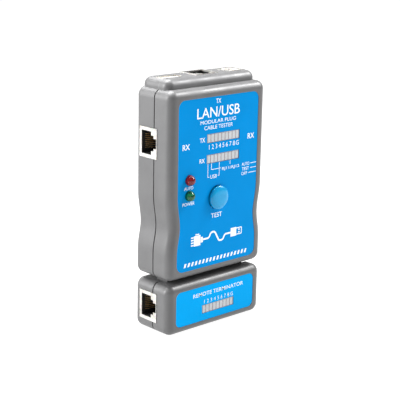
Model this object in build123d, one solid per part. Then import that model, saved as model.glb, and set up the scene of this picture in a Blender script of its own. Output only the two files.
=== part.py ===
"""Network cable tester in two units: a master with its sockets, lamps, TEST button, mode switch and
battery, and a remote terminator that hangs from a rail under it.

Millimetres. +X is the right-hand side seen from the front, -Y the labelled front, +Z up.
The origin is the centre of the remote's flat base, where the whole tester stands.
"""
from build123d import *
import os

os.makedirs("parts", exist_ok=True)

# ---- both units -------------------------------------------------------------------------------
WIDTH = 68.0
DEPTH = 26.5
WALL = 2.0
FRONT_Y = -DEPTH / 2
BACK_Y = DEPTH / 2
SEAM_Y = -0.75                 # where the front and back shells meet
FRONT_ROUND = 4.2              # rounding of the front edges
BACK_ROUND = 2.4
CORNER_ROUND = 4.6             # corners of the outline seen from the front
TONGUE = 0.9                   # thickness of the lip that keys the shells together
TONGUE_REACH = 1.6
FIT = 0.05                     # gap between parts that only locate each other
CLEAR = 0.15                   # gap round anything that passes through a shell

# ---- master -----------------------------------------------------------------------------------
MASTER_LOW = 30.0
LEDGE_Z = 130.0                # the shoulder that the crown stands on
CROWN_TOP = 135.0
CROWN_HALF = 31.3
CROWN_FRONT = -8.0
CROWN_BACK = 13.0
CROWN_ROUND = 4.2             # rounding of its top edges
CROWN_CORNER = 4.4            # its corners seen from above
WAIST_LOW, WAIST_MID, WAIST_HIGH = 43.8, 58.5, 75.3
WAIST_DEPTH = 1.8
GROOVE = 0.8                   # width of the shadow line along each unit's seam
GROOVE_DEEP = 1.0

# ---- remote -----------------------------------------------------------------------------------
REMOTE_TOP = 27.5

# ---- rail between them ------------------------------------------------------------------------
RAIL_HALF_LENGTH = 27.5
NECK_HALF = 4.0
HEAD_HALF = 6.0
HEAD_TOP, HEAD_LOW = 25.3, 23.5
RAIL_PLAY = 0.2
NECK_PLAY = 0.3
SHELF_THICK = 1.0

# ---- labels -----------------------------------------------------------------------------------
LABEL_HALF = 28.5
LABEL_THICK = 0.25
LABEL_SUNK = 0.4               # depth of the pocket that the label lies in
LABEL_GAP = 0.12
MASTER_LABEL_Z = (34.2, 125.0)
REMOTE_LABEL_Z = (4.0, 23.5)
LABEL_ROUND = 4.2
REMOTE_LABEL_ROUND = 3.3

# ---- lamps and button -------------------------------------------------------------------------
LAMP_PITCH = 2.54
LAMP_COUNT = 9
LAMP_WIDE, LAMP_TALL = 2.05, 4.3
LAMP_FRAME = (23.4, 4.7)
LAMP_FACE_Y = FRONT_Y + 0.35
TX_BAR = (3.2, 103.3)
RX_BAR = (3.2, 92.35)
REMOTE_BAR = (2.05, 10.4)
DOME_R = 2.75
DOME_PROUD = 0.5               # height of the barrel in front of the case
AUTO_LAMP = (-20.45, 83.2)
POWER_LAMP = (-20.45, 74.9)
BUTTON = (-0.2, 71.1)
BUTTON_R = 6.4
BUTTON_PROUD = 2.7
BUTTON_DOME_R = 24.0           # crown of its face
BUTTON_ROUND = 1.1             # rounding of the face's rim
BUTTON_BORE_R = BUTTON_R + 0.1

# ---- boards -----------------------------------------------------------------------------------
BOARD_THICK = 1.6
BOARD_BACK = -3.1              # face that the master's sockets are soldered to
BOARD_HALF = 29.3
BOARD_Z = (66.0, 127.0)
REMOTE_BOARD_BACK = -3.95
REMOTE_BOARD_Z = (3.2, 21.9)
REMOTE_BOARD_HALF = 30.5
CHIP_X, CHIP_Z = (-6.0, 4.0), (86.5, 106.5)
CHIP_STANDOFF, CHIP_THICK = 0.3, 2.3
LEG_COUNT, LEG_PITCH, LEG_REACH = 14, 1.27, 0.9
LEG_START_Z = 88.2
RESISTOR = (1.4, 0.6, 3.2)     # width, height off the board, length
MASTER_RESISTORS = (-11.0, 77.0)
REMOTE_RESISTORS = (-5.0, 6.0)
CAPACITOR = (-22.0, 82.0)
CAPACITOR_R, CAPACITOR_LONG = 3.15, 7.0

# ---- LAN jack (8-pin modular socket, shielded) ------------------------------------------------
JACK_WIDE, JACK_HIGH, JACK_DEEP = 15.9, 13.4, 21.0
JACK_SKIN = 0.3
JACK_LIP = 0.6                 # folded front of the shield
PLUG_WIDE, PLUG_LOW, PLUG_HIGH = 12.2, 4.2, 11.7
LATCH_STEPS = ((8.2, 2.4, 4.2), (5.2, 0.3, 2.4))
PLUG_DEEP = 14.0
PIN_PITCH = 1.02
JACK_PROUD = 0.3
SIDE_JACK_Z = 102.0
TOP_JACK_X = 0.5
REMOTE_JACK_Z = 13.95

# ---- USB sockets ------------------------------------------------------------------------------
USB_A_WIDE, USB_A_HIGH, USB_A_DEEP = 13.1, 5.7, 14.0
USB_B_WIDE, USB_B_HIGH, USB_B_DEEP = 12.0, 10.9, 16.0
USB_SKIN = 0.3
USB_A_STANDOFF = 2.0           # plastic foot between the socket and its board
FOOT_START = 2.6               # the foot begins this far behind the mouth
USB_A_X, USB_B_X = -22.0, 21.5
SIDE_USB_Z = 101.0

# ---- mode switch ------------------------------------------------------------------------------
SWITCH_Z = 83.65               # middle of the three positions
SWITCH_STEP = 2.55             # travel between neighbouring positions
SWITCH_LONG, SWITCH_WIDE, SWITCH_DEEP = 13.2, 5.6, 5.2
SWITCH_SKIN = 0.35
SWITCH_FACE_X = 31.6
KNOB_LONG, KNOB_WIDE = 3.8, 2.4
KNOB_X = 33.8
SWITCH_Y = BOARD_BACK + SWITCH_WIDE / 2

# ---- battery, 9 V block lying across the bottom of the master ---------------------------------
BATTERY_LONG, BATTERY_TALL, BATTERY_DEEP = 46.4, 26.5, 17.5
BATTERY_X = -26.6              # left end
BATTERY_Z = 34.3
BATTERY_Y = -8.3
BAY_WALL = 1.2
BAY_HALF = 27.6
BAY_TOP = 61.4
BAY_LOW = MASTER_LOW + WALL - 0.2  # the bay's walls are rooted in the floor
DOOR_HALF = 26.4
DOOR_Z = (34.0, 61.0)
DOOR_GAP = 0.2
DOOR_THICK = 1.8
LEAD_R = 0.65
LEAD_X = 22.2
LEAD_ROUTES = {
    # start beside the snap, three bends, then straight into the board
    "battery_lead_red": [(LEAD_X, 0.4, 64.5), (20.8, 2.4, 70.0), (19.2, 0.8, 74.8)],
    "battery_lead_black": [(LEAD_X, 3.4, 64.9), (21.8, 5.4, 71.4), (20.4, 3.0, 78.4)],
}
LEAD_BENDS = {"battery_lead_red": [7.0, 3.6, 2.2], "battery_lead_black": [7.0, 4.6, 2.6]}

# ---- screws -----------------------------------------------------------------------------------
CASE_SCREWS = [(-27.6, 67.2), (27.6, 67.2), (-29.0, 113.1), (29.0, 113.1)]
REMOTE_SCREWS = [(-10.0, 17.4), (26.5, 12.5)]
BOARD_SCREWS = [(-12.0, 121.0), (12.3, 121.0), (-14.0, 70.5), (14.0, 70.5)]
REMOTE_BOARD_SCREWS = [(-24.0, 3.9), (20.0, 17.5)]
CASE_SCREW_R, CASE_HEAD_R, CASE_HEAD_HIGH = 1.3, 2.4, 1.6
BOSS_R = 2.6
SCREW_SEAT = 7.4               # where a case screw's head rests
BOARD_SCREW_R, BOARD_HEAD_R, BOARD_HEAD_HIGH = 1.0, 1.8, 1.2

PARTS = {}


def group(solids):
    """Several separate solids kept as one node."""
    return Compound(children=list(solids))


def block(low, high):
    """A box between two opposite corners."""
    size = [b - a for a, b in zip(low, high)]
    return Pos(*low) * Box(*size, align=(Align.MIN, Align.MIN, Align.MIN))


def facing_front(y):
    """A drawing plane at depth y, seen from the front: its x is +X and its y is +Z."""
    return Plane(origin=(0, y, 0), x_dir=(1, 0, 0), z_dir=(0, -1, 0))


def slab(shape, y_front, y_back):
    """A flat shape seen from the front, thickened between two depths."""
    return extrude(facing_front(y_back) * shape, amount=y_back - y_front)


def rod(x, z, radius, y_front, y_back):
    """A round bar or bore running front to back."""
    return slab(Pos(x, z) * Circle(radius), y_front, y_back)


def rounded(half, z_low, z_high, radius):
    """An upright rectangle with round corners, seen from the front."""
    return Pos(0, (z_low + z_high) / 2) * RectangleRounded(2 * half, z_high - z_low, radius)


def waisted(half, z_low, z_high, radius):
    """The same, with its two long sides drawn in at the waist."""
    right = [(half, WAIST_LOW), (half - WAIST_DEPTH, WAIST_MID), (half, WAIST_HIGH)]
    left = [(-x, z) for x, z in reversed(right)]
    rim = Line((-half, z_low), (half, z_low))
    rim += Line((half, z_low), right[0])
    rim += Spline(*right, tangents=[(0, 1), (0, 1), (0, 1)])
    rim += Line(right[2], (half, z_high))
    rim += Line((half, z_high), (-half, z_high))
    rim += Line((-half, z_high), left[0])
    rim += Spline(*left, tangents=[(0, -1), (0, -1), (0, -1)])
    rim += Line(left[2], (-half, z_low))
    face = make_face(rim)
    corners = [v for v in face.vertices() if min(abs(v.Y - z_low), abs(v.Y - z_high)) < 0.01]
    return fillet(corners, radius)


def rounded_case(face, y_front, y_back, front_round, back_round):
    """A slab whose front and back rims are rounded."""
    solid = slab(face, y_front, y_back)
    solid = fillet(solid.faces().sort_by(Axis.Y)[0].edges(), front_round)
    return fillet(solid.faces().sort_by(Axis.Y)[-1].edges(), back_round)


def crown(inset):
    """The raised block on the master's shoulder that carries the top sockets."""
    middle = (CROWN_FRONT + CROWN_BACK) / 2
    size = (2 * (CROWN_HALF - inset), CROWN_BACK - CROWN_FRONT - 2 * inset)
    plan = Pos(0, middle, LEDGE_Z - 2 * WALL) * RectangleRounded(*size, CROWN_CORNER - inset)
    solid = extrude(plan, amount=CROWN_TOP - LEDGE_Z + 2 * WALL - inset)
    return fillet(solid.faces().sort_by(Axis.Z)[-1].edges(), CROWN_ROUND - inset)


def halves(solid):
    """Everything in front of the seam, and everything behind it."""
    reach = 200
    front = solid & block((-reach, -reach, -reach), (reach, SEAM_Y, reach))
    back = solid & block((-reach, SEAM_Y, -reach), (reach, reach, reach))
    return front, back


def seam_groove(outline):
    """The shadow line cut round the outside of a case where its two shells meet."""
    ring = slab(outline(-1), SEAM_Y - GROOVE / 2, SEAM_Y + GROOVE / 2)
    return ring - slab(outline(GROOVE_DEEP), -20, 20)


# ---- sockets, each drawn with its mouth at z = 0 facing +z and its board side at y = 0 ---------
def jack_mouth(depth):
    """The stepped hollow that a LAN plug goes into, latch side nearest the board."""
    steps = ((PLUG_WIDE, PLUG_LOW, PLUG_HIGH),) + LATCH_STEPS
    boxes = [block((-wide / 2, low, -depth), (wide / 2, high, 0)) for wide, low, high in steps]
    return boxes[0] + boxes[1] + boxes[2]


def lan_jack():
    """Shield, plastic insert and eight spring contacts of one LAN jack."""
    half = JACK_WIDE / 2
    outer = block((-half, 0, -JACK_DEEP), (half, JACK_HIGH, 0))
    core_low = (-half + JACK_SKIN, JACK_SKIN, -JACK_DEEP + JACK_SKIN)
    core_high = (half - JACK_SKIN, JACK_HIGH - JACK_SKIN, -JACK_LIP)
    core = block(core_low, core_high)
    shield = outer - core - jack_mouth(2 * JACK_LIP)
    insert = core - jack_mouth(PLUG_DEEP)
    wire = Polygon(
        (PLUG_HIGH, -2.4), (PLUG_HIGH - 0.4, -2.4), (PLUG_HIGH - 2.6, -10.5),
        (PLUG_HIGH - 2.6, -PLUG_DEEP), (PLUG_HIGH - 2.25, -PLUG_DEEP),
        (PLUG_HIGH - 2.25, -10.6), (PLUG_HIGH, -3.4), align=None,
    )
    pins = []
    for number in range(8):
        x = (number - 3.5) * PIN_PITCH - 0.2
        plane = Plane(origin=(x, 0, 0), x_dir=(0, 1, 0), z_dir=(1, 0, 0))
        pins.append(extrude(plane * wire, amount=0.4))
    return shield, insert, pins


def usb_a():
    """Shell, plastic tongue with its foot, and four contacts of one wide USB socket."""
    half = USB_A_WIDE / 2
    low, high = USB_A_STANDOFF, USB_A_STANDOFF + USB_A_HIGH
    skin = USB_SKIN
    shell = block((-half, low, -USB_A_DEEP), (half, high, 0))
    hollow = block((-half + skin, low + skin, -USB_A_DEEP), (half - skin, high - skin, 0))
    shell -= hollow
    plug = block((-half + skin, low + skin, -USB_A_DEEP), (half - skin, high - skin, -9.2))
    tongue = block((-5.55, low + 1.2, -9.2), (5.55, low + 3.0, -0.3))
    foot = block((-half, 0, -USB_A_DEEP), (half, low, -FOOT_START))
    rear = block((-half, 0, -USB_A_DEEP - 1.2), (half, high, -USB_A_DEEP))
    insert = plug + tongue + rear + foot
    pins = []
    for x in (-3.5, -1.0, 1.0, 3.5):
        pins.append(block((x - 0.5, low + 3.0, -9.2), (x + 0.5, low + 3.2, -1.2)))
    return shell, insert, pins


def usb_b():
    """Shell, plastic core and four contacts of the square USB socket."""
    half = USB_B_WIDE / 2
    skin = USB_SKIN
    outer = block((-half, 0, -USB_B_DEEP), (half, USB_B_HIGH, 0))
    core = block((-half + skin, skin, -USB_B_DEEP + skin), (half - skin, USB_B_HIGH - skin, -skin))
    mouth_face = Pos(0, USB_B_HIGH / 2, -11) * Rectangle(8.5, 7.8)
    mouth = extrude(mouth_face, amount=11)
    mouth = chamfer(mouth.edges().filter_by(Axis.Z).group_by(Axis.Y)[-1], 1.5)
    tongue_low, tongue_high = (-2.8, 3.9, -11.0), (2.8, 7.0, -1.0)
    shell = outer - core - mouth
    insert = core - mouth + block(tongue_low, tongue_high)
    pins = []
    for y0, y1 in ((3.7, 3.9), (7.0, 7.2)):
        for x in (-1.25, 1.25):
            pins.append(block((x - 0.5, y0, -11.0), (x + 0.5, y1, -2.0)))
    return shell, insert, pins


LEFT_OF_MASTER = Plane(
    origin=(-WIDTH / 2 - JACK_PROUD, BOARD_BACK, SIDE_JACK_Z), x_dir=(0, 0, 1), z_dir=(-1, 0, 0)
)
LEFT_OF_REMOTE = Plane(
    origin=(-WIDTH / 2 - JACK_PROUD, REMOTE_BOARD_BACK, REMOTE_JACK_Z),
    x_dir=(0, 0, 1), z_dir=(-1, 0, 0),
)
RIGHT_OF_MASTER = Plane(
    origin=(WIDTH / 2, BOARD_BACK, SIDE_USB_Z), x_dir=(0, 0, -1), z_dir=(1, 0, 0)
)


def on_top(x, proud):
    """Where a top socket stands: mouth up, board side to the front."""
    origin = (x, BOARD_BACK, CROWN_TOP + proud)
    return Plane(origin=origin, x_dir=(1, 0, 0), z_dir=(0, 0, 1))


SOCKETS = {
    "side_lan_jack": (lan_jack, LEFT_OF_MASTER, (JACK_WIDE, 0, JACK_HIGH, JACK_DEEP)),
    "top_lan_jack": (lan_jack, on_top(TOP_JACK_X, JACK_PROUD), (JACK_WIDE, 0, JACK_HIGH, JACK_DEEP)),
    "remote_lan_jack": (lan_jack, LEFT_OF_REMOTE, (JACK_WIDE, 0, JACK_HIGH, JACK_DEEP)),
    "top_usb_a": (usb_a, on_top(USB_A_X, 0.1),
                  (USB_A_WIDE, 0, USB_A_STANDOFF + USB_A_HIGH, USB_A_DEEP + 1.2)),
    "side_usb": (usb_a, RIGHT_OF_MASTER,
                 (USB_A_WIDE, 0, USB_A_STANDOFF + USB_A_HIGH, USB_A_DEEP + 1.2)),
    "top_usb_b": (usb_b, on_top(USB_B_X, 0.1), (USB_B_WIDE, 0, USB_B_HIGH, USB_B_DEEP)),
}
MASTER_SOCKETS = [name for name in SOCKETS if not name.startswith("remote")]


def socket_space(name):
    """The clear space that a socket needs in the shells round it."""
    plane, (wide, low, high, deep) = SOCKETS[name][1:]
    foot = USB_A_STANDOFF if SOCKETS[name][0] is usb_a else 0
    mouth = block((-wide / 2 - CLEAR, low + foot - CLEAR, -4), (wide / 2 + CLEAR, high + CLEAR, 4))
    rear = block((-wide / 2 - CLEAR, low - CLEAR, -deep - CLEAR), (wide / 2 + CLEAR, high + CLEAR, -1))
    if foot:
        rear = block((-wide / 2 - CLEAR, low - CLEAR, -deep - CLEAR),
                     (wide / 2 + CLEAR, high + CLEAR, -FOOT_START + CLEAR))
    return plane * (mouth + rear)


def make_sockets():
    for name, (build, plane, _) in SOCKETS.items():
        shell, insert, pins = build()
        PARTS[name + "_shell"] = plane * shell
        PARTS[name + "_insert"] = plane * insert
        PARTS[name + "_contacts"] = group(plane * pin for pin in pins)


# ---- screws -----------------------------------------------------------------------------------
def screw(x, z, y_seat, y_tip, radius, head_r, head_high):
    """A cross-head screw driven from the back, its head resting at y_seat."""
    solid = rod(x, z, radius, y_tip, y_seat) + rod(x, z, head_r, y_seat, y_seat + head_high)
    solid = fillet(solid.faces().sort_by(Axis.Y)[-1].edges(), head_high / 3)
    cross = Rectangle(1.2 * head_r, 0.3 * head_r) + Rectangle(0.3 * head_r, 1.2 * head_r)
    return solid - slab(Pos(x, z) * cross, y_seat + 0.45 * head_high, y_seat + head_high)


def make_screws():
    case = {"case_screws": CASE_SCREWS, "remote_case_screws": REMOTE_SCREWS}
    for name, places in case.items():
        PARTS[name] = group(
            screw(x, z, SCREW_SEAT, -8.6, CASE_SCREW_R, CASE_HEAD_R, CASE_HEAD_HIGH)
            for x, z in places
        )
    boards = {
        "board_screws": (BOARD_SCREWS, BOARD_BACK),
        "remote_board_screws": (REMOTE_BOARD_SCREWS, REMOTE_BOARD_BACK),
    }
    for name, (places, seat) in boards.items():
        PARTS[name] = group(
            screw(x, z, seat, seat - 5.0, BOARD_SCREW_R, BOARD_HEAD_R, BOARD_HEAD_HIGH)
            for x, z in places
        )


def front_bosses(case_places, board_places, board_back):
    """Posts in a front shell that take the case screws and carry the board."""
    posts = None
    holes = None
    for x, z in case_places:
        post = rod(x, z, BOSS_R, FRONT_Y + WALL - 0.5, SEAM_Y)
        hole = rod(x, z, CASE_SCREW_R + 0.02, -9.4, SEAM_Y)
        posts = post if posts is None else posts + post
        holes = hole if holes is None else holes + hole
    for x, z in board_places:
        posts += rod(x, z, 2.2, FRONT_Y + WALL - 0.5, board_back - BOARD_THICK)
        holes += rod(x, z, BOARD_SCREW_R + 0.02, board_back - 5.8, board_back)
    return posts, holes


def back_bosses(case_places):
    """Posts in a back shell that the case screws pass through, with sunk seats for the heads."""
    posts = None
    holes = None
    for x, z in case_places:
        post = rod(x, z, CASE_HEAD_R + 1.0, SEAM_Y, BACK_Y - WALL + 0.5)
        hole = rod(x, z, CASE_SCREW_R + 0.2, SEAM_Y, SCREW_SEAT)
        hole += rod(x, z, CASE_HEAD_R + 0.25, SCREW_SEAT, BACK_Y)
        posts = post if posts is None else posts + post
        holes = hole if holes is None else holes + hole
    return posts, holes


def tongue_ring(outer_face, inner_face):
    """The lip on a back shell that enters the front shell at the seam."""
    return slab(outer_face, SEAM_Y - TONGUE_REACH, SEAM_Y) - slab(inner_face, -20, 20)


# ---- master shells ----------------------------------------------------------------------------
def master_outline(inset):
    face_round = CORNER_ROUND - inset * 0.9
    return waisted(WIDTH / 2 - inset, MASTER_LOW + inset, LEDGE_Z - inset, face_round)


def rail():
    """T-shaped rail under the master: a neck and a wider head."""
    long = RAIL_HALF_LENGTH
    neck = block((-long, SEAM_Y - NECK_HALF, HEAD_LOW), (long, SEAM_Y + NECK_HALF, MASTER_LOW + WALL))
    head = block((-long, SEAM_Y - HEAD_HALF, HEAD_LOW), (long, SEAM_Y + HEAD_HALF, HEAD_TOP))
    return neck + head


def battery_bay():
    """Box of thin walls that holds the battery, open to the back."""
    low = (-BAY_HALF - BAY_WALL, BATTERY_Y - 0.3 - BAY_WALL, BAY_LOW)
    high = (BAY_HALF + BAY_WALL, BACK_Y - WALL + 0.2, BAY_TOP + BAY_WALL)
    hollow = block((-BAY_HALF, BATTERY_Y - 0.3, MASTER_LOW + WALL), (BAY_HALF, BACK_Y, BAY_TOP))
    return block(low, high), hollow


def lead_notch():
    """Opening in the bay's top wall that the battery leads pass through."""
    return block((LEAD_X - 1.6, -1.2, BAY_TOP - 0.5), (LEAD_X + 1.6, 5.2, BAY_TOP + BAY_WALL + 0.5))


def door_opening():
    """Opening in the back wall, with a thumb notch above it."""
    opening = block((-DOOR_HALF, BACK_Y - WALL - 0.5, DOOR_Z[0]), (DOOR_HALF, BACK_Y + 1, DOOR_Z[1]))
    thumb = Pos(0, BACK_Y + 4.8, DOOR_Z[1]) * Sphere(6.0)
    return opening, thumb & block((-9, 0, DOOR_Z[1] - 1), (9, 20, DOOR_Z[1] + 9))


def front_windows():
    """Everything cut through the master's front face."""
    cut = None
    for x, z in (TX_BAR, RX_BAR):
        size = (LAMP_FRAME[0] + 2 * FIT, LAMP_FRAME[1] + 2 * FIT)
        window = slab(Pos(x, z) * Rectangle(*size), FRONT_Y - 1, FRONT_Y + WALL + 1)
        cut = window if cut is None else cut + window
    for x, z in (AUTO_LAMP, POWER_LAMP):
        cut += rod(x, z, DOME_R + FIT, FRONT_Y - 1, FRONT_Y + WALL + 1)
    return cut + rod(*BUTTON, BUTTON_BORE_R, FRONT_Y - 1, FRONT_Y + WALL + 1)


def switch_slot():
    """Slot in the right-hand wall for the mode switch's knob, and room for its housing."""
    half = SWITCH_STEP + KNOB_LONG / 2 + 0.5
    wide = KNOB_WIDE / 2 + 0.4
    slot = block((SWITCH_FACE_X, SWITCH_Y - wide, SWITCH_Z - half),
                 (WIDTH, SWITCH_Y + wide, SWITCH_Z + half))
    room = (SWITCH_LONG / 2 + CLEAR, SWITCH_WIDE / 2 + CLEAR)
    return slot + block((20, SWITCH_Y - room[1], SWITCH_Z - room[0]),
                        (SWITCH_FACE_X + CLEAR, SWITCH_Y + room[1], SWITCH_Z + room[0]))


def make_master_shells():
    body = rounded_case(master_outline(0), FRONT_Y, BACK_Y, FRONT_ROUND, BACK_ROUND)
    hollow = rounded_case(master_outline(WALL), FRONT_Y + WALL, BACK_Y - WALL, 2.0, 1.0)
    front, back = halves(body + crown(0) - hollow - crown(WALL) + rail())
    lip_outer = master_outline(WALL - TONGUE)
    lip = tongue_ring(lip_outer, master_outline(WALL))
    lip -= block((-100, -20, LEDGE_Z - 2 * WALL), (100, 20, LEDGE_Z))
    lip -= block((-100, -20, 0), (100, 20, MASTER_LOW + WALL))
    rebate = tongue_ring(master_outline(WALL - TONGUE - FIT), master_outline(WALL + 1))
    rebate -= block((-100, -20, LEDGE_Z - 2 * WALL + FIT), (100, 20, LEDGE_Z))
    rebate -= block((-100, -20, 0), (100, 20, MASTER_LOW + WALL - FIT))
    groove = seam_groove(master_outline)
    groove -= block((-CROWN_HALF, -20, LEDGE_Z - 5), (CROWN_HALF, 20, LEDGE_Z + 5))
    groove -= block((-RAIL_HALF_LENGTH - 1, -20, 0), (RAIL_HALF_LENGTH + 1, 20, MASTER_LOW + 5))

    label_pocket = waisted(LABEL_HALF, *MASTER_LABEL_Z, LABEL_ROUND)
    posts, holes = front_bosses(CASE_SCREWS, BOARD_SCREWS, BOARD_BACK)
    front = front - rebate - groove + posts - holes - front_windows() - switch_slot()
    front -= slab(label_pocket, FRONT_Y - 1, FRONT_Y + LABEL_SUNK)
    bay, bay_hollow = battery_bay()
    bay_front = BATTERY_Y - 0.3 - BAY_WALL - FIT
    bay_room = block((-BAY_HALF - BAY_WALL - FIT, bay_front, BAY_LOW - FIT),
                     (BAY_HALF + BAY_WALL + FIT, SEAM_Y, BAY_TOP + BAY_WALL + FIT))
    front -= bay_room
    posts, holes = back_bosses(CASE_SCREWS)
    opening, thumb = door_opening()
    clip = slab(master_outline(WALL / 2), -20, BACK_Y - 1)
    back = back + lip - groove + (posts & clip) + (bay & clip)
    back = back - bay_hollow - holes - opening - thumb - lead_notch() - switch_slot()
    for name in MASTER_SOCKETS:
        front -= socket_space(name)
        back -= socket_space(name)
    PARTS["master_front_shell"] = front
    PARTS["master_back_shell"] = back


def make_master_label():
    face = waisted(LABEL_HALF - LABEL_GAP, *MASTER_LABEL_Z, LABEL_ROUND)
    sheet = slab(face, FRONT_Y + LABEL_SUNK - LABEL_THICK, FRONT_Y + LABEL_SUNK)
    PARTS["master_label"] = sheet - front_windows()


# ---- lamps ------------------------------------------------------------------------------------
def make_lamp_bar(name, centre, board_front):
    """Nine flat lamps in a comb-shaped holder, standing on the board behind the window."""
    x_mid, z_mid = centre
    frame = slab(Pos(x_mid, z_mid) * Rectangle(*LAMP_FRAME), LAMP_FACE_Y + 0.15, board_front - 0.6)
    lamps = []
    for number in range(LAMP_COUNT):
        x = x_mid + (number - (LAMP_COUNT - 1) / 2) * LAMP_PITCH
        outline = Pos(x, z_mid) * Rectangle(LAMP_WIDE, LAMP_TALL)
        lamp = slab(outline, LAMP_FACE_Y, board_front - 0.6)
        lamp = fillet(lamp.faces().sort_by(Axis.Y)[0].edges(), 0.15)
        for side in (-1.27, 1.27):
            lamp += slab(Pos(x, z_mid + side) * Rectangle(0.5, 0.5), board_front - 0.6, board_front)
        lamps.append(lamp)
        frame -= slab(Pos(x, z_mid) * Rectangle(LAMP_WIDE, LAMP_TALL), FRONT_Y, board_front)
    PARTS[name + "_lamps"] = group(lamps)
    PARTS[name + "_lamp_holder"] = frame


def make_dome_lamp(name, centre):
    """A round lamp: dome, barrel, flange and two legs, standing on the main board."""
    x, z = centre
    base = FRONT_Y + 6.1
    front = FRONT_Y - DOME_PROUD
    lamp = rod(x, z, DOME_R, front, base) + rod(x, z, DOME_R + 0.4, base - 1.0, base)
    lamp += Pos(x, front, z) * Sphere(DOME_R)
    for side in (-1.27, 1.27):
        leg = Pos(x + side, z) * Rectangle(0.5, 0.5)
        lamp += slab(leg, base, BOARD_BACK - BOARD_THICK)
    PARTS[name] = lamp


# ---- TEST button and its switch ---------------------------------------------------------------
def make_test_button():
    x, z = BUTTON
    front = FRONT_Y - BUTTON_PROUD
    flange_y = FRONT_Y + WALL + 0.1
    crown_ball = Pos(x, front + BUTTON_DOME_R, z) * Sphere(BUTTON_DOME_R)
    cap = rod(x, z, BUTTON_R, front, flange_y + 1.0) & crown_ball
    rim = cap.edges().filter_by(GeomType.CIRCLE).sort_by(Axis.Y)[0]
    cap = fillet(rim, BUTTON_ROUND)
    flange = rod(x, z, BUTTON_R + 1.0, flange_y, flange_y + 1.0)
    key = slab(Pos(x + BUTTON_R + 1.0, z) * Rectangle(2.0, 2.0), flange_y, flange_y + 1.0)
    PARTS["test_button"] = cap + flange + key
    back = flange_y + 1.0
    board_front = BOARD_BACK - BOARD_THICK
    body_front = board_front - 3.5
    PARTS["test_switch_plunger"] = rod(x, z, 1.75, back, body_front + 1.2)
    body = slab(Pos(x, z) * Rectangle(6.0, 6.0), body_front, board_front)
    PARTS["test_switch_body"] = body - rod(x, z, 1.8, body_front, body_front + 2.6)


# ---- mode switch ------------------------------------------------------------------------------
def make_mode_switch():
    """Metal slide switch on the board's edge; the knob rests in its lowest position, OFF."""
    x0, x1 = SWITCH_FACE_X - SWITCH_DEEP, SWITCH_FACE_X
    y0, y1 = SWITCH_Y - SWITCH_WIDE / 2, SWITCH_Y + SWITCH_WIDE / 2
    z0, z1 = SWITCH_Z - SWITCH_LONG / 2, SWITCH_Z + SWITCH_LONG / 2
    skin = SWITCH_SKIN
    reach = SWITCH_STEP + KNOB_LONG / 2 + 0.15
    housing = block((x0, y0, z0), (x1, y1, z1))
    housing -= block((x0 + 1.2, y0 + skin, z0 + skin), (x1 - skin, y1 - skin, z1 - skin))
    housing -= block((x1 - 1, SWITCH_Y - KNOB_WIDE / 2 - 0.1, SWITCH_Z - reach),
                     (x1 + 1, SWITCH_Y + KNOB_WIDE / 2 + 0.1, SWITCH_Z + reach))
    PARTS["mode_switch_housing"] = housing
    z_off = SWITCH_Z - SWITCH_STEP
    knob = block((x1 - skin - 1.0, SWITCH_Y - KNOB_WIDE / 2, z_off - KNOB_LONG / 2),
                 (KNOB_X, SWITCH_Y + KNOB_WIDE / 2, z_off + KNOB_LONG / 2))
    for offset in (-1.2, 0.0, 1.2):
        knob -= block((KNOB_X - 0.4, SWITCH_Y - KNOB_WIDE, z_off + offset - 0.2),
                      (KNOB_X + 1, SWITCH_Y + KNOB_WIDE, z_off + offset + 0.2))
    slider = block((x1 - skin - 2.6, y0 + skin + 0.1, z_off - 2.6),
                   (x1 - skin - 0.1, y1 - skin - 0.1, z_off + 2.6))
    PARTS["mode_switch_knob"] = knob + slider


# ---- boards -----------------------------------------------------------------------------------
def resistor_row(start, back):
    """One flat resistor for each lamp, side by side on a board's back face."""
    wide, high, long = RESISTOR
    x, z = start
    return group(
        block((x + LAMP_PITCH * n, back, z), (x + LAMP_PITCH * n + wide, back + high, z + long))
        for n in range(LAMP_COUNT)
    )


def make_main_board():
    back, front = BOARD_BACK, BOARD_BACK - BOARD_THICK
    face = rounded(BOARD_HALF, *BOARD_Z, 1.0)
    board = slab(face, front, back)
    for x, z in CASE_SCREWS:
        board -= rod(x, z, CASE_HEAD_R + 1.3, front, back)
    for x, z in CASE_SCREWS[:2]:
        side = 1 if x > 0 else -1
        corner = Pos(x + side * 3, z - 3) * Rectangle(9.4, 9.4)
        board -= slab(corner, front, back)
    for x, z in BOARD_SCREWS:
        board -= rod(x, z, BOARD_SCREW_R + 0.1, front, back)
    PARTS["main_circuit_board"] = board
    PARTS["controller_chip"] = block(
        (CHIP_X[0], back + CHIP_STANDOFF, CHIP_Z[0]),
        (CHIP_X[1], back + CHIP_STANDOFF + CHIP_THICK, CHIP_Z[1]),
    )
    legs = []
    for number in range(LEG_COUNT):
        z = LEG_START_Z + number * LEG_PITCH
        for inner, outer in ((CHIP_X[0] - LEG_REACH, CHIP_X[0]), (CHIP_X[1], CHIP_X[1] + LEG_REACH)):
            legs.append(block((inner, back, z - 0.2), (outer, back + 0.9, z + 0.2)))
    PARTS["controller_chip_legs"] = group(legs)
    PARTS["lamp_resistors"] = resistor_row(MASTER_RESISTORS, back)
    barrel = rod(*CAPACITOR, CAPACITOR_R, back, back + CAPACITOR_LONG)
    PARTS["filter_capacitor"] = fillet(barrel.edges(), 0.4)


def make_remote_board():
    back, front = REMOTE_BOARD_BACK, REMOTE_BOARD_BACK - BOARD_THICK
    board = slab(rounded(REMOTE_BOARD_HALF, *REMOTE_BOARD_Z, 1.0), front, back)
    for x, z in REMOTE_SCREWS:
        board -= rod(x, z, CASE_HEAD_R + 1.3, front, back)
    for x, z in REMOTE_BOARD_SCREWS:
        board -= rod(x, z, BOARD_SCREW_R + 0.1, front, back)
    PARTS["remote_circuit_board"] = board
    PARTS["remote_resistors"] = resistor_row(REMOTE_RESISTORS, back)


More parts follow.
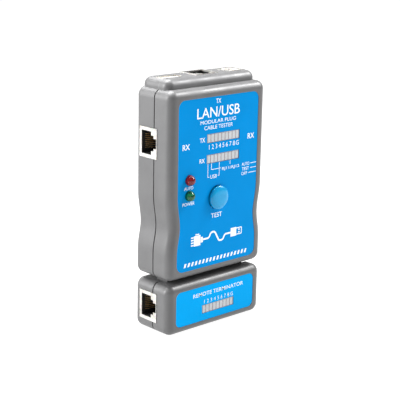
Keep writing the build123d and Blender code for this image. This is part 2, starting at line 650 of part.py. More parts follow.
# ---- battery ----------------------------------------------------------------------------------
def make_battery():
    y0, y1 = BATTERY_Y, BATTERY_Y + BATTERY_DEEP
    z0, z1 = BATTERY_Z, BATTERY_Z + BATTERY_TALL
    x1 = BATTERY_X + BATTERY_LONG
    can = block((BATTERY_X, y0, z0), (x1, y1, z1))
    PARTS["battery"] = fillet(can.edges().filter_by(Axis.X), 1.8)
    y_mid, z_mid = (y0 + y1) / 2, (z0 + z1) / 2
    studs = []
    for side, radius in ((-1, 2.9), (1, 4.0)):
        place = Pos(x1, y_mid, z_mid + side * 6.35) * Rot(0, 90, 0)
        studs.append(place * Cylinder(radius, 2.1, align=(Align.CENTER, Align.CENTER, Align.MIN)))
    PARTS["battery_terminals"] = group(studs)
    snap = block((x1 + 0.05, y_mid - 6.3, z_mid - 12.6), (x1 + 4.6, y_mid + 6.3, z_mid + 12.6))
    snap = fillet(snap.edges().filter_by(Axis.X), 3.0)
    for side, radius in ((-1, 2.95), (1, 4.05)):
        place = Pos(x1, y_mid, z_mid + side * 6.35) * Rot(0, 90, 0)
        snap -= place * Cylinder(radius, 2.15, align=(Align.CENTER, Align.CENTER, Align.MIN))
    PARTS["battery_snap"] = snap
    make_leads(z_mid + 12.6)


def make_leads(snap_top):
    """The two insulated leads, from the top of the battery snap to the main board."""
    for name, bends in LEAD_ROUTES.items():
        first, last = bends[0], bends[-1]
        points = [(*first[:2], snap_top), *bends, (last[0], BOARD_BACK, last[2])]
        route = FilletPolyline(*points, radius=LEAD_BENDS[name])
        start = Plane(origin=route @ 0, z_dir=route % 0)
        PARTS[name] = sweep(start * Circle(LEAD_R), path=route)
        print(name, "bends", LEAD_BENDS[name], "length", round(route.length, 1))


def make_battery_door():
    """Cover over the battery: two hooks below, a thumb grip above, ribs outside."""
    low, high = DOOR_Z[0] + DOOR_GAP, DOOR_Z[1] - DOOR_GAP
    inner = BACK_Y - DOOR_THICK
    face = Pos(0, (low + high) / 2) * RectangleRounded(2 * (DOOR_HALF - DOOR_GAP), high - low, 0.8)
    door = slab(face, inner, BACK_Y)
    for x in (-16.0, 16.0):
        door += block((x - 3, BACK_Y - WALL - 1.6, low), (x + 3, inner, low + 2.0))
        door += block((x - 3, BACK_Y - WALL - 1.6, low - 1.6), (x + 3, BACK_Y - WALL - 0.2, low + 0.2))
    for number in range(5):
        z = high - 2.2 - 1.5 * number
        door -= block((-7, BACK_Y - 0.5, z - 0.4), (7, BACK_Y + 1, z + 0.4))
    PARTS["battery_door"] = door
    pad_low = (-15.0, inner - 0.5, 40.0)
    PARTS["battery_pad"] = block(pad_low, (15.0, inner, 55.0))


# ---- remote shells ----------------------------------------------------------------------------
def remote_outline(inset):
    return rounded(WIDTH / 2 - inset, inset, REMOTE_TOP - inset, CORNER_ROUND - inset * 0.9)


def rail_slot():
    """The channel in the remote's top that the master's rail slides along, open to the right."""
    left, right = -RAIL_HALF_LENGTH - RAIL_PLAY, WIDTH
    neck = block((left, SEAM_Y - NECK_HALF - NECK_PLAY, HEAD_LOW),
                 (right, SEAM_Y + NECK_HALF + NECK_PLAY, REMOTE_TOP + 5))
    head = block((left, SEAM_Y - HEAD_HALF - NECK_PLAY, HEAD_LOW - RAIL_PLAY),
                 (right, SEAM_Y + HEAD_HALF + NECK_PLAY, HEAD_TOP + RAIL_PLAY))
    return neck + head


def make_remote_shells():
    body = rounded_case(remote_outline(0), FRONT_Y, BACK_Y, FRONT_ROUND, BACK_ROUND)
    hollow = rounded_case(remote_outline(WALL), FRONT_Y + WALL, BACK_Y - WALL, 2.0, 1.0)
    shelf_top = HEAD_LOW - RAIL_PLAY
    shelf = block((-40, SEAM_Y - HEAD_HALF - 1.5, shelf_top - SHELF_THICK),
                  (40, SEAM_Y + HEAD_HALF + 1.5, REMOTE_TOP))
    front, back = halves(body - hollow + (shelf & slab(remote_outline(0.5), -20, 20)))
    lip = tongue_ring(remote_outline(WALL - TONGUE), remote_outline(WALL))
    rebate = tongue_ring(remote_outline(WALL - TONGUE - FIT), remote_outline(WALL + 1))
    top = block((-100, -20, shelf_top - SHELF_THICK - 1), (100, 20, 60))
    slot = rail_slot()
    groove = seam_groove(remote_outline)
    groove -= block((-RAIL_HALF_LENGTH - 1, -20, shelf_top - SHELF_THICK), (100, 20, 60))
    posts, holes = front_bosses(REMOTE_SCREWS, REMOTE_BOARD_SCREWS, REMOTE_BOARD_BACK)
    window = Pos(*REMOTE_BAR) * Rectangle(LAMP_FRAME[0] + 2 * FIT, LAMP_FRAME[1] + 2 * FIT)
    front = front - (rebate - top) - groove + posts - holes - slot
    front -= slab(window, FRONT_Y - 1, FRONT_Y + WALL + 1)
    pocket = rounded(LABEL_HALF, *REMOTE_LABEL_Z, REMOTE_LABEL_ROUND)
    front -= slab(pocket, FRONT_Y - 1, FRONT_Y + LABEL_SUNK)
    posts, holes = back_bosses(REMOTE_SCREWS)
    back = back + (lip - top) - groove + posts - holes - slot
    space = socket_space("remote_lan_jack")
    PARTS["remote_front_shell"] = front - space
    PARTS["remote_back_shell"] = back - space
    face = rounded(LABEL_HALF - LABEL_GAP, REMOTE_LABEL_Z[0] + LABEL_GAP,
                   REMOTE_LABEL_Z[1] - LABEL_GAP, REMOTE_LABEL_ROUND)
    PARTS["remote_label"] = slab(face - window, FRONT_Y + LABEL_SUNK - LABEL_THICK,
                                 FRONT_Y + LABEL_SUNK)


make_sockets()
make_screws()
make_master_shells()
make_master_label()
make_lamp_bar("tx", TX_BAR, BOARD_BACK - BOARD_THICK)
make_lamp_bar("rx", RX_BAR, BOARD_BACK - BOARD_THICK)
make_lamp_bar("remote", REMOTE_BAR, REMOTE_BOARD_BACK - BOARD_THICK)
make_dome_lamp("auto_lamp", AUTO_LAMP)
make_dome_lamp("power_lamp", POWER_LAMP)
make_test_button()
make_mode_switch()
make_main_board()
make_remote_board()
make_battery()
make_battery_door()
make_remote_shells()

for node, shape in PARTS.items():
    export_step(shape, f"parts/{node}.step")
print(len(PARTS), "nodes written")
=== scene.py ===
# %% [markdown]
# # A network cable tester in two units
# The real object is two small plastic boxes: a master with its sockets, lamps, button, switch and
# battery, and a remote that slides onto a rail under it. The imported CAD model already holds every
# shell, socket, lamp and screw at its true size, so this lesson adds what CAD leaves out: finishes,
# printing, the wires inside the lamps, solder, battery marks, a studio and a camera.
# The first cell loads that frame. Nothing in it is moved afterwards.

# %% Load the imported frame
import math
import bpy
import bmesh
from mathutils import Matrix, Vector


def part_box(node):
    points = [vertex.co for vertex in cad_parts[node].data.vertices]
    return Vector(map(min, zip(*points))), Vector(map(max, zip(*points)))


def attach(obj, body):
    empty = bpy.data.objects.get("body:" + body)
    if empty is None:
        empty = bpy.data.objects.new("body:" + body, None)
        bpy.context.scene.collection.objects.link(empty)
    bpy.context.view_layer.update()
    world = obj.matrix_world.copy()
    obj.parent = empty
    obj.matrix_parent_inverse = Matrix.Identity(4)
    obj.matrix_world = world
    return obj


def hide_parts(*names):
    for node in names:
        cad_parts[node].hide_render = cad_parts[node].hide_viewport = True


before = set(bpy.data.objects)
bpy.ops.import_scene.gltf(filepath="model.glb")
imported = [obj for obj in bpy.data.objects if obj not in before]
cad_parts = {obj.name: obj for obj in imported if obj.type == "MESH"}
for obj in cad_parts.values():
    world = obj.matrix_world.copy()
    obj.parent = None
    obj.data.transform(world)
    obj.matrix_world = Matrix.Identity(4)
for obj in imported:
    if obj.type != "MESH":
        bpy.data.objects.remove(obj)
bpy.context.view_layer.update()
scene = bpy.context.scene

# %% [markdown]
# ## Millimetres and the label's face
# The frame is in metres, but a maker thinks of this object in millimetres. One constant turns one
# into the other, and a helper reads where a CAD part lies, so that no printed word or added wire
# needs a place typed in for the part that it belongs to.

# %% Read places from the frame in millimetres
MM = 0.001


def reach(node):
    """Lowest corner, highest corner and middle of a CAD part, in millimetres."""
    low, high = (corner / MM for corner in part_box(node))
    return low, high, (low + high) / 2


LABEL_FACE = reach("master_label")[0].y
print(f"label face y {LABEL_FACE:.2f} mm")

# %% [markdown]
# ## Materials start and end alike
# Every finish below begins as an empty node tree and ends as rows of framed nodes, one frame for each
# effect, so that the node editor reads like the text. Two helpers hold that beginning and that end,
# and what lies between them is written out node by node.

# %% Start a material and frame its effects
COLUMN_APART, ROW_APART = 240, 400     # between nodes in the editor


def empty_material(name):
    """A new material with an empty node tree, its nodes and its links."""
    material = bpy.data.materials.new(name)
    material.use_nodes = True
    nodes, links = material.node_tree.nodes, material.node_tree.links
    nodes.clear()
    return material, nodes, links


def frame_effects(nodes, effects):
    """One frame and one row for each effect, with its nodes side by side."""
    for row, (effect, members) in enumerate(effects.items()):
        panel = nodes.new("NodeFrame")
        panel.label = effect
        for column, node in enumerate(members):
            node.parent = panel
            node.location = (COLUMN_APART * column, -ROW_APART * row)


print("nodes are set", COLUMN_APART, "apart in rows", ROW_APART, "apart")

# %% [markdown]
# ## Moulded plastic
# The case, the holders, the knob, the button and the socket inserts are all injection moulded. The
# mould's spark-eroded steel leaves a fine tooth, the melt leaves faint flow clouds, and fingers
# polish the surface in patches while corners rub lighter. One function makes all of them, because
# only the numbers differ. A Bevel node compares the rounded normal with the true one, which finds
# the edges of a CAD mesh without any painting.

# %% Make a moulded plastic


def moulded_plastic(name, colour, roughness, grain, tooth, wear, coat=0.0, flake=0.0, shine=0.5):
    """Injection-moulded plastic. grain and tooth are the tooth's size and depth in mm, flake is how
    much metal powder the melt holds, and shine is how strongly its skin reflects."""
    material, nodes, links = empty_material(name)

    place = nodes.new("ShaderNodeTexCoord")
    place.label = "Place on the moulding"

    pits = nodes.new("ShaderNodeTexVoronoi")
    pits.label = "Pits left by the spark-eroded mould"
    pits.inputs["Scale"].default_value = 1 / (grain * MM)
    pits.inputs["Randomness"].default_value = 1.0
    fuzz = nodes.new("ShaderNodeTexNoise")
    fuzz.label = "Finer tooth between the pits"
    fuzz.inputs["Scale"].default_value = 2.6 / (grain * MM)
    fuzz.inputs["Detail"].default_value = 2.0
    both = nodes.new("ShaderNodeMath")
    both.label = "Pits and tooth together"
    both.operation = "MULTIPLY_ADD"
    both.inputs[1].default_value = 0.55
    relief = nodes.new("ShaderNodeBump")
    relief.label = "Tooth felt by the light"
    relief.inputs["Strength"].default_value = 0.6
    relief.inputs["Distance"].default_value = tooth * MM

    flow = nodes.new("ShaderNodeTexNoise")
    flow.label = "Flow clouds of the melt"
    flow.inputs["Scale"].default_value = 75.0
    flow.inputs["Detail"].default_value = 5.0
    flow.inputs["Distortion"].default_value = 0.8
    tint = nodes.new("ShaderNodeValToRGB")
    tint.label = "Colour of the melt, darker to lighter"
    tint.color_ramp.elements[0].position = 0.3
    tint.color_ramp.elements[0].color = (*[0.93 * c for c in colour], 1)
    tint.color_ramp.elements[1].position = 0.7
    tint.color_ramp.elements[1].color = (*[min(1.0, 1.05 * c) for c in colour], 1)
    flecks = nodes.new("ShaderNodeTexNoise")
    flecks.label = "Pigment flecks"
    flecks.inputs["Scale"].default_value = 5200.0
    fleck_ink = nodes.new("ShaderNodeMix")
    fleck_ink.label = "Flecks stirred in"
    fleck_ink.data_type = "RGBA"
    fleck_ink.blend_type = "OVERLAY"
    fleck_ink.inputs[0].default_value = 0.16

    true_side = nodes.new("ShaderNodeNewGeometry")
    true_side.label = "True surface direction"
    soft_side = nodes.new("ShaderNodeBevel")
    soft_side.label = "Direction smoothed over the edges"
    soft_side.samples = 4
    soft_side.inputs["Radius"].default_value = 0.35 * MM
    agree = nodes.new("ShaderNodeVectorMath")
    agree.label = "How well they agree"
    agree.operation = "DOT_PRODUCT"
    edges = nodes.new("ShaderNodeMapRange")
    edges.label = "Edges and corners"
    edges.inputs["From Min"].default_value = 0.99
    edges.inputs["From Max"].default_value = 0.80
    edges.inputs["To Max"].default_value = wear
    patchy = nodes.new("ShaderNodeMath")
    patchy.label = "Rubbed in patches"
    patchy.operation = "MULTIPLY"
    rubbed = nodes.new("ShaderNodeMix")
    rubbed.label = "Paler where rubbed"
    rubbed.data_type = "RGBA"
    rubbed.inputs[7].default_value = (*[0.55 * c + 0.4 for c in colour], 1)

    touch = nodes.new("ShaderNodeTexNoise")
    touch.label = "Patches polished by fingers"
    touch.inputs["Scale"].default_value = 130.0
    touch.inputs["Detail"].default_value = 4.0
    sheen = nodes.new("ShaderNodeMapRange")
    sheen.label = "Dull to polished"
    sheen.inputs["From Min"].default_value = 0.35
    sheen.inputs["From Max"].default_value = 0.65
    sheen.inputs["To Min"].default_value = roughness - 0.05
    sheen.inputs["To Max"].default_value = roughness + 0.06

    surface = nodes.new("ShaderNodeBsdfPrincipled")
    surface.label = name.replace("_", " ")
    surface.inputs["IOR"].default_value = 1.5
    surface.inputs["Specular IOR Level"].default_value = shine
    surface.inputs["Coat Weight"].default_value = coat
    surface.inputs["Coat Roughness"].default_value = 0.06
    surface.inputs["Metallic"].default_value = flake
    output = nodes.new("ShaderNodeOutputMaterial")
    output.label = "Moulded surface"

    links.new(place.outputs["Object"], pits.inputs["Vector"])
    links.new(place.outputs["Object"], fuzz.inputs["Vector"])
    links.new(pits.outputs["Distance"], both.inputs[0])
    links.new(fuzz.outputs[0], both.inputs[2])
    links.new(both.outputs[0], relief.inputs["Height"])
    links.new(place.outputs["Object"], flow.inputs["Vector"])
    links.new(place.outputs["Object"], flecks.inputs["Vector"])
    links.new(flow.outputs[0], tint.inputs["Fac"])
    links.new(tint.outputs["Color"], fleck_ink.inputs[6])
    links.new(flecks.outputs[0], fleck_ink.inputs[7])
    links.new(true_side.outputs["Normal"], agree.inputs[0])
    links.new(soft_side.outputs["Normal"], agree.inputs[1])
    links.new(agree.outputs["Value"], edges.inputs["Value"])
    links.new(edges.outputs["Result"], patchy.inputs[0])
    links.new(touch.outputs[0], patchy.inputs[1])
    links.new(patchy.outputs[0], rubbed.inputs[0])
    links.new(fleck_ink.outputs[2], rubbed.inputs[6])
    links.new(place.outputs["Object"], touch.inputs["Vector"])
    links.new(touch.outputs[0], sheen.inputs["Value"])
    links.new(rubbed.outputs[2], surface.inputs["Base Color"])
    links.new(sheen.outputs["Result"], surface.inputs["Roughness"])
    links.new(relief.outputs["Normal"], surface.inputs["Normal"])
    links.new(surface.outputs["BSDF"], output.inputs["Surface"])

    frame_effects(nodes, {
        "Mould tooth": (place, pits, fuzz, both, relief),
        "Melt colour": (flow, tint, flecks, fleck_ink),
        "Rubbed edges": (true_side, soft_side, agree, edges, patchy, rubbed),
        "Handling and surface": (touch, sheen, surface, output),
    })
    print(name, "uses", len(nodes), "nodes")
    return material


# %% [markdown]
# ## Plated metal
# Socket shields are tinned steel, contacts are gold on bronze, screws are zinc plated. All were
# rolled or turned, so their scratches run one way, and all carry faint stains. Stretching a noise
# through a Mapping node gives the rolling lines; the direction is an argument, because a shield that
# faces sideways was rolled along another axis than one that faces up.

# %% Make a plated metal


def plated_metal(name, colour, stain, roughness, rolled, spangle=0.0):
    """Plated sheet or wire. rolled is how many lines per metre there are along x, y and z."""
    material, nodes, links = empty_material(name)

    place = nodes.new("ShaderNodeTexCoord")
    place.label = "Place on the metal"
    stretch = nodes.new("ShaderNodeMapping")
    stretch.label = "Stretched along the rolling"
    stretch.inputs["Scale"].default_value = rolled
    lines = nodes.new("ShaderNodeTexNoise")
    lines.label = "Rolling lines"
    lines.inputs["Scale"].default_value = 1.0
    lines.inputs["Detail"].default_value = 3.0
    groove = nodes.new("ShaderNodeBump")
    groove.label = "Lines felt by the light"
    groove.inputs["Strength"].default_value = 0.35
    groove.inputs["Distance"].default_value = 0.006 * MM

    clouds = nodes.new("ShaderNodeTexNoise")
    clouds.label = "Stains in the plating"
    clouds.inputs["Scale"].default_value = 420.0
    clouds.inputs["Detail"].default_value = 6.0
    stained = nodes.new("ShaderNodeValToRGB")
    stained.label = "Clean plate to stained plate"
    stained.color_ramp.elements[0].position = 0.32
    stained.color_ramp.elements[0].color = (*stain, 1)
    stained.color_ramp.elements[1].position = 0.62
    stained.color_ramp.elements[1].color = (*colour, 1)
    crystals = nodes.new("ShaderNodeTexVoronoi")
    crystals.label = "Crystals of the coating"
    crystals.inputs["Scale"].default_value = 1400.0
    frosted = nodes.new("ShaderNodeMix")
    frosted.label = "Crystals over the plate"
    frosted.data_type = "RGBA"
    frosted.blend_type = "SOFT_LIGHT"
    frosted.inputs[0].default_value = spangle

    wiped = nodes.new("ShaderNodeMapRange")
    wiped.label = "Polished along the lines"
    wiped.inputs["From Min"].default_value = 0.3
    wiped.inputs["From Max"].default_value = 0.7
    wiped.inputs["To Min"].default_value = max(0.05, roughness - 0.08)
    wiped.inputs["To Max"].default_value = roughness + 0.1

    surface = nodes.new("ShaderNodeBsdfPrincipled")
    surface.label = name.replace("_", " ")
    surface.inputs["Metallic"].default_value = 1.0
    output = nodes.new("ShaderNodeOutputMaterial")
    output.label = "Metal surface"

    links.new(place.outputs["Object"], stretch.inputs["Vector"])
    links.new(stretch.outputs["Vector"], lines.inputs["Vector"])
    links.new(lines.outputs[0], groove.inputs["Height"])
    links.new(place.outputs["Object"], clouds.inputs["Vector"])
    links.new(clouds.outputs[0], stained.inputs["Fac"])
    links.new(place.outputs["Object"], crystals.inputs["Vector"])
    links.new(stained.outputs["Color"], frosted.inputs[6])
    links.new(crystals.outputs["Color"], frosted.inputs[7])
    links.new(lines.outputs[0], wiped.inputs["Value"])
    links.new(frosted.outputs[2], surface.inputs["Base Color"])
    links.new(wiped.outputs["Result"], surface.inputs["Roughness"])
    links.new(groove.outputs["Normal"], surface.inputs["Normal"])
    links.new(surface.outputs["BSDF"], output.inputs["Surface"])

    frame_effects(nodes, {
        "Rolling": (place, stretch, lines, groove),
        "Stains and crystals": (clouds, stained, crystals, frosted),
        "Polish and surface": (wiped, surface, output),
    })
    print(name, "uses", len(nodes), "nodes")
    return material


# %% [markdown]
# ## Clear coloured lenses
# A round lamp is cast in tinted epoxy. Light passes through it, bends, and shows the little metal cup
# inside, so a real transmission shader is worth its time here. Slow ripples of the casting and a
# little dye cloud keep it from looking like a perfect marble.

# %% Make a cast lens


def cast_lens(name, thin, deep, ripple):
    """Tinted clear epoxy, from its thin colour to its deep colour."""
    material, nodes, links = empty_material(name)

    place = nodes.new("ShaderNodeTexCoord")
    place.label = "Place in the epoxy"
    dye = nodes.new("ShaderNodeTexNoise")
    dye.label = "Clouds of dye"
    dye.inputs["Scale"].default_value = 480.0
    dye.inputs["Detail"].default_value = 3.0
    shade = nodes.new("ShaderNodeValToRGB")
    shade.label = "Thin dye to deep dye"
    shade.color_ramp.elements[0].position = 0.35
    shade.color_ramp.elements[0].color = (*deep, 1)
    shade.color_ramp.elements[1].position = 0.75
    shade.color_ramp.elements[1].color = (*thin, 1)

    swell = nodes.new("ShaderNodeTexNoise")
    swell.label = "Ripples of the casting"
    swell.inputs["Scale"].default_value = 700.0
    bend = nodes.new("ShaderNodeBump")
    bend.label = "Ripples bend the light"
    bend.inputs["Strength"].default_value = 0.5
    bend.inputs["Distance"].default_value = ripple * MM
    haze = nodes.new("ShaderNodeMapRange")
    haze.label = "Clear to faintly hazed"
    haze.inputs["To Min"].default_value = 0.02
    haze.inputs["To Max"].default_value = 0.10

    surface = nodes.new("ShaderNodeBsdfPrincipled")
    surface.label = name.replace("_", " ")
    surface.inputs["IOR"].default_value = 1.54
    surface.inputs["Transmission Weight"].default_value = 0.7
    surface.inputs["Specular IOR Level"].default_value = 0.5
    output = nodes.new("ShaderNodeOutputMaterial")
    output.label = "Lens surface"

    links.new(place.outputs["Object"], dye.inputs["Vector"])
    links.new(dye.outputs[0], shade.inputs["Fac"])
    links.new(place.outputs["Object"], swell.inputs["Vector"])
    links.new(swell.outputs[0], bend.inputs["Height"])
    links.new(swell.outputs[0], haze.inputs["Value"])
    links.new(shade.outputs["Color"], surface.inputs["Base Color"])
    links.new(haze.outputs["Result"], surface.inputs["Roughness"])
    links.new(bend.outputs["Normal"], surface.inputs["Normal"])
    links.new(surface.outputs["BSDF"], output.inputs["Surface"])

    frame_effects(nodes, {
        "Dye": (place, dye, shade),
        "Casting": (swell, bend, haze),
        "Surface": (surface, output),
    })
    print(name, "uses", len(nodes), "nodes")
    return material


# %% [markdown]
# ## Printed film
# Each front label is a sheet of polyester printed from behind. Its colour is nearly even, with a
# faint screen of dots and slow drift in the ink, under an orange-peel skin dulled by smudges.
# The dots are a Voronoi pattern at print pitch, far too small to see whole, which is the point:
# they stop the colour from being flat.

# %% Make a printed film


def printed_film(name, colour, roughness):
    """Screen-printed label film under a satin overlay."""
    material, nodes, links = empty_material(name)

    place = nodes.new("ShaderNodeTexCoord")
    place.label = "Place on the label"
    drift = nodes.new("ShaderNodeTexNoise")
    drift.label = "Slow drift of the ink"
    drift.inputs["Scale"].default_value = 42.0
    drift.inputs["Detail"].default_value = 3.0
    strength = nodes.new("ShaderNodeValToRGB")
    strength.label = "Thin ink to full ink"
    strength.color_ramp.elements[0].position = 0.3
    strength.color_ramp.elements[0].color = (*[min(1.0, 1.04 * c) for c in colour], 1)
    strength.color_ramp.elements[1].position = 0.7
    strength.color_ramp.elements[1].color = (*[0.95 * c for c in colour], 1)
    dots = nodes.new("ShaderNodeTexVoronoi")
    dots.label = "Dots of the print screen"
    dots.inputs["Scale"].default_value = 4200.0
    dots.inputs["Randomness"].default_value = 0.25
    dot_edge = nodes.new("ShaderNodeMapRange")
    dot_edge.label = "Thin ink between the dots"
    dot_edge.inputs["From Min"].default_value = 0.35
    dot_edge.inputs["From Max"].default_value = 0.75
    dot_edge.inputs["To Max"].default_value = 0.10
    screened = nodes.new("ShaderNodeMix")
    screened.label = "Screened colour"
    screened.data_type = "RGBA"
    screened.inputs[7].default_value = (*[0.85 * c + 0.01 for c in colour], 1)

    peel = nodes.new("ShaderNodeTexNoise")
    peel.label = "Orange peel of the overlay"
    peel.inputs["Scale"].default_value = 1500.0
    peel.inputs["Detail"].default_value = 2.0
    relief = nodes.new("ShaderNodeBump")
    relief.label = "Peel felt by the light"
    relief.inputs["Strength"].default_value = 0.4
    relief.inputs["Distance"].default_value = 0.01 * MM
    smudge = nodes.new("ShaderNodeTexNoise")
    smudge.label = "Finger smudges"
    smudge.inputs["Scale"].default_value = 95.0
    smudge.inputs["Detail"].default_value = 6.0
    smudge.inputs["Distortion"].default_value = 1.5
    dulled = nodes.new("ShaderNodeMapRange")
    dulled.label = "Clean to smudged"
    dulled.inputs["From Min"].default_value = 0.4
    dulled.inputs["From Max"].default_value = 0.7
    dulled.inputs["To Min"].default_value = roughness
    dulled.inputs["To Max"].default_value = roughness + 0.14

    surface = nodes.new("ShaderNodeBsdfPrincipled")
    surface.label = name.replace("_", " ")
    surface.inputs["IOR"].default_value = 1.5
    surface.inputs["Specular IOR Level"].default_value = 0.03
    output = nodes.new("ShaderNodeOutputMaterial")
    output.label = "Film surface"

    links.new(place.outputs["Object"], drift.inputs["Vector"])
    links.new(drift.outputs[0], strength.inputs["Fac"])
    links.new(place.outputs["Object"], dots.inputs["Vector"])
    links.new(dots.outputs["Distance"], dot_edge.inputs["Value"])
    links.new(dot_edge.outputs["Result"], screened.inputs[0])
    links.new(strength.outputs["Color"], screened.inputs[6])
    links.new(place.outputs["Object"], peel.inputs["Vector"])
    links.new(peel.outputs[0], relief.inputs["Height"])
    links.new(place.outputs["Object"], smudge.inputs["Vector"])
    links.new(smudge.outputs[0], dulled.inputs["Value"])
    links.new(screened.outputs[2], surface.inputs["Base Color"])
    links.new(dulled.outputs["Result"], surface.inputs["Roughness"])
    links.new(relief.outputs["Normal"], surface.inputs["Normal"])
    links.new(surface.outputs["BSDF"], output.inputs["Surface"])

    frame_effects(nodes, {
        "Ink": (place, drift, strength, dots, dot_edge, screened),
        "Overlay": (peel, relief, smudge, dulled),
        "Surface": (surface, output),
    })
    print(name, "uses", len(nodes), "nodes")
    return material


# %% [markdown]
# ## Screen ink
# Words and lines are a layer of ink a few hundredths of a millimetre thick. It covers unevenly, with
# pinholes where the mesh of the screen lifted, so its colour wavers a little and its skin is pebbled.

# %% Make a screen ink


def screen_ink(name, colour, bleed, roughness):
    """A printed layer of ink. bleed is the colour that shows through where it is thin."""
    material, nodes, links = empty_material(name)

    place = nodes.new("ShaderNodeTexCoord")
    place.label = "Place on the print"
    cover = nodes.new("ShaderNodeTexNoise")
    cover.label = "Uneven cover"
    cover.inputs["Scale"].default_value = 900.0
    cover.inputs["Detail"].default_value = 4.0
    pinholes = nodes.new("ShaderNodeTexVoronoi")
    pinholes.label = "Pinholes of the screen"
    pinholes.inputs["Scale"].default_value = 3300.0
    thin = nodes.new("ShaderNodeMath")
    thin.label = "Thin where both are low"
    thin.operation = "MULTIPLY"
    cover_ink = nodes.new("ShaderNodeValToRGB")
    cover_ink.label = "Thin ink to full ink"
    cover_ink.color_ramp.elements[0].position = 0.02
    cover_ink.color_ramp.elements[0].color = (*bleed, 1)
    cover_ink.color_ramp.elements[1].position = 0.16
    cover_ink.color_ramp.elements[1].color = (*colour, 1)

    skin = nodes.new("ShaderNodeBump")
    skin.label = "Pebbled skin"
    skin.inputs["Strength"].default_value = 0.5
    skin.inputs["Distance"].default_value = 0.008 * MM
    dullness = nodes.new("ShaderNodeMapRange")
    dullness.label = "Dull where thick"
    dullness.inputs["To Min"].default_value = roughness - 0.08
    dullness.inputs["To Max"].default_value = roughness + 0.08

    surface = nodes.new("ShaderNodeBsdfPrincipled")
    surface.label = name.replace("_", " ")
    output = nodes.new("ShaderNodeOutputMaterial")
    output.label = "Ink surface"

    links.new(place.outputs["Object"], cover.inputs["Vector"])
    links.new(place.outputs["Object"], pinholes.inputs["Vector"])
    links.new(cover.outputs[0], thin.inputs[0])
    links.new(pinholes.outputs["Distance"], thin.inputs[1])
    links.new(thin.outputs[0], cover_ink.inputs["Fac"])
    links.new(cover.outputs[0], skin.inputs["Height"])
    links.new(cover.outputs[0], dullness.inputs["Value"])
    links.new(cover_ink.outputs["Color"], surface.inputs["Base Color"])
    links.new(dullness.outputs["Result"], surface.inputs["Roughness"])
    links.new(skin.outputs["Normal"], surface.inputs["Normal"])
    links.new(surface.outputs["BSDF"], output.inputs["Surface"])

    frame_effects(nodes, {
        "Cover": (place, cover, pinholes, thin, cover_ink),
        "Skin and surface": (skin, dullness, surface, output),
    })
    print(name, "uses", len(nodes), "nodes")
    return material


# %% [markdown]
# ## Circuit board
# A board is glass cloth and resin under green solder mask, and copper tracks stand a hair above the
# laminate, so they show through the mask as paler raised lines. A Brick texture's mortar makes a
# believable net of tracks with right-angled turns. The board stands upright, so a Mapping node first
# lays its face into the plane that the Brick texture works in.

# %% Make a circuit board


def circuit_board(name, mask, track):
    """Green solder mask over copper tracks and glass cloth."""
    material, nodes, links = empty_material(name)

    place = nodes.new("ShaderNodeTexCoord")
    place.label = "Place on the board"
    laid = nodes.new("ShaderNodeMapping")
    laid.label = "Upright face laid flat"
    laid.inputs["Rotation"].default_value = (-math.pi / 2, 0, 0)
    tracks = nodes.new("ShaderNodeTexBrick")
    tracks.label = "Copper tracks"
    tracks.inputs["Scale"].default_value = 1.0
    tracks.inputs["Brick Width"].default_value = 0.0061
    tracks.inputs["Row Height"].default_value = 0.0019
    tracks.inputs["Mortar Size"].default_value = 0.00025
    tracks.inputs["Mortar Smooth"].default_value = 0.1
    tracks.offset = 0.37
    tracks.offset_frequency = 3
    tracks.squash = 0.6
    tracks.squash_frequency = 4
    tracks.inputs["Color1"].default_value = (0, 0, 0, 1)
    tracks.inputs["Color2"].default_value = (0, 0, 0, 1)
    tracks.inputs["Mortar"].default_value = (1, 1, 1, 1)
    cloth = nodes.new("ShaderNodeTexNoise")
    cloth.label = "Glass cloth under the resin"
    cloth.inputs["Scale"].default_value = 2400.0
    masked = nodes.new("ShaderNodeValToRGB")
    masked.label = "Mask over the cloth"
    masked.color_ramp.elements[0].color = (*[0.8 * c for c in mask], 1)
    masked.color_ramp.elements[1].color = (*[1.2 * c for c in mask], 1)
    coloured = nodes.new("ShaderNodeMix")
    coloured.label = "Tracks show through the mask"
    coloured.data_type = "RGBA"
    coloured.inputs[7].default_value = (*track, 1)

    raised = nodes.new("ShaderNodeBump")
    raised.label = "Tracks stand above the laminate"
    raised.inputs["Distance"].default_value = 0.035 * MM
    weave = nodes.new("ShaderNodeBump")
    weave.label = "Weave of the cloth"
    weave.inputs["Strength"].default_value = 0.3
    weave.inputs["Distance"].default_value = 0.01 * MM
    gloss = nodes.new("ShaderNodeMapRange")
    gloss.label = "Gloss of the mask"
    gloss.inputs["To Min"].default_value = 0.25
    gloss.inputs["To Max"].default_value = 0.42

    surface = nodes.new("ShaderNodeBsdfPrincipled")
    surface.label = name.replace("_", " ")
    surface.inputs["Coat Weight"].default_value = 0.3
    output = nodes.new("ShaderNodeOutputMaterial")
    output.label = "Board surface"

    links.new(place.outputs["Object"], laid.inputs["Vector"])
    links.new(laid.outputs["Vector"], tracks.inputs["Vector"])
    links.new(place.outputs["Object"], cloth.inputs["Vector"])
    links.new(cloth.outputs[0], masked.inputs["Fac"])
    links.new(masked.outputs["Color"], coloured.inputs[6])
    links.new(tracks.outputs["Color"], coloured.inputs[0])
    links.new(tracks.outputs["Color"], raised.inputs["Height"])
    links.new(cloth.outputs[0], weave.inputs["Height"])
    links.new(raised.outputs["Normal"], weave.inputs["Normal"])
    links.new(cloth.outputs[0], gloss.inputs["Value"])
    links.new(coloured.outputs[2], surface.inputs["Base Color"])
    links.new(gloss.outputs["Result"], surface.inputs["Roughness"])
    links.new(weave.outputs["Normal"], surface.inputs["Normal"])
    links.new(surface.outputs["BSDF"], output.inputs["Surface"])

    frame_effects(nodes, {
        "Tracks": (place, laid, tracks, raised),
        "Mask and cloth": (cloth, masked, coloured, weave),
        "Surface": (gloss, surface, output),
    })
    print(name, "uses", len(nodes), "nodes")
    return material


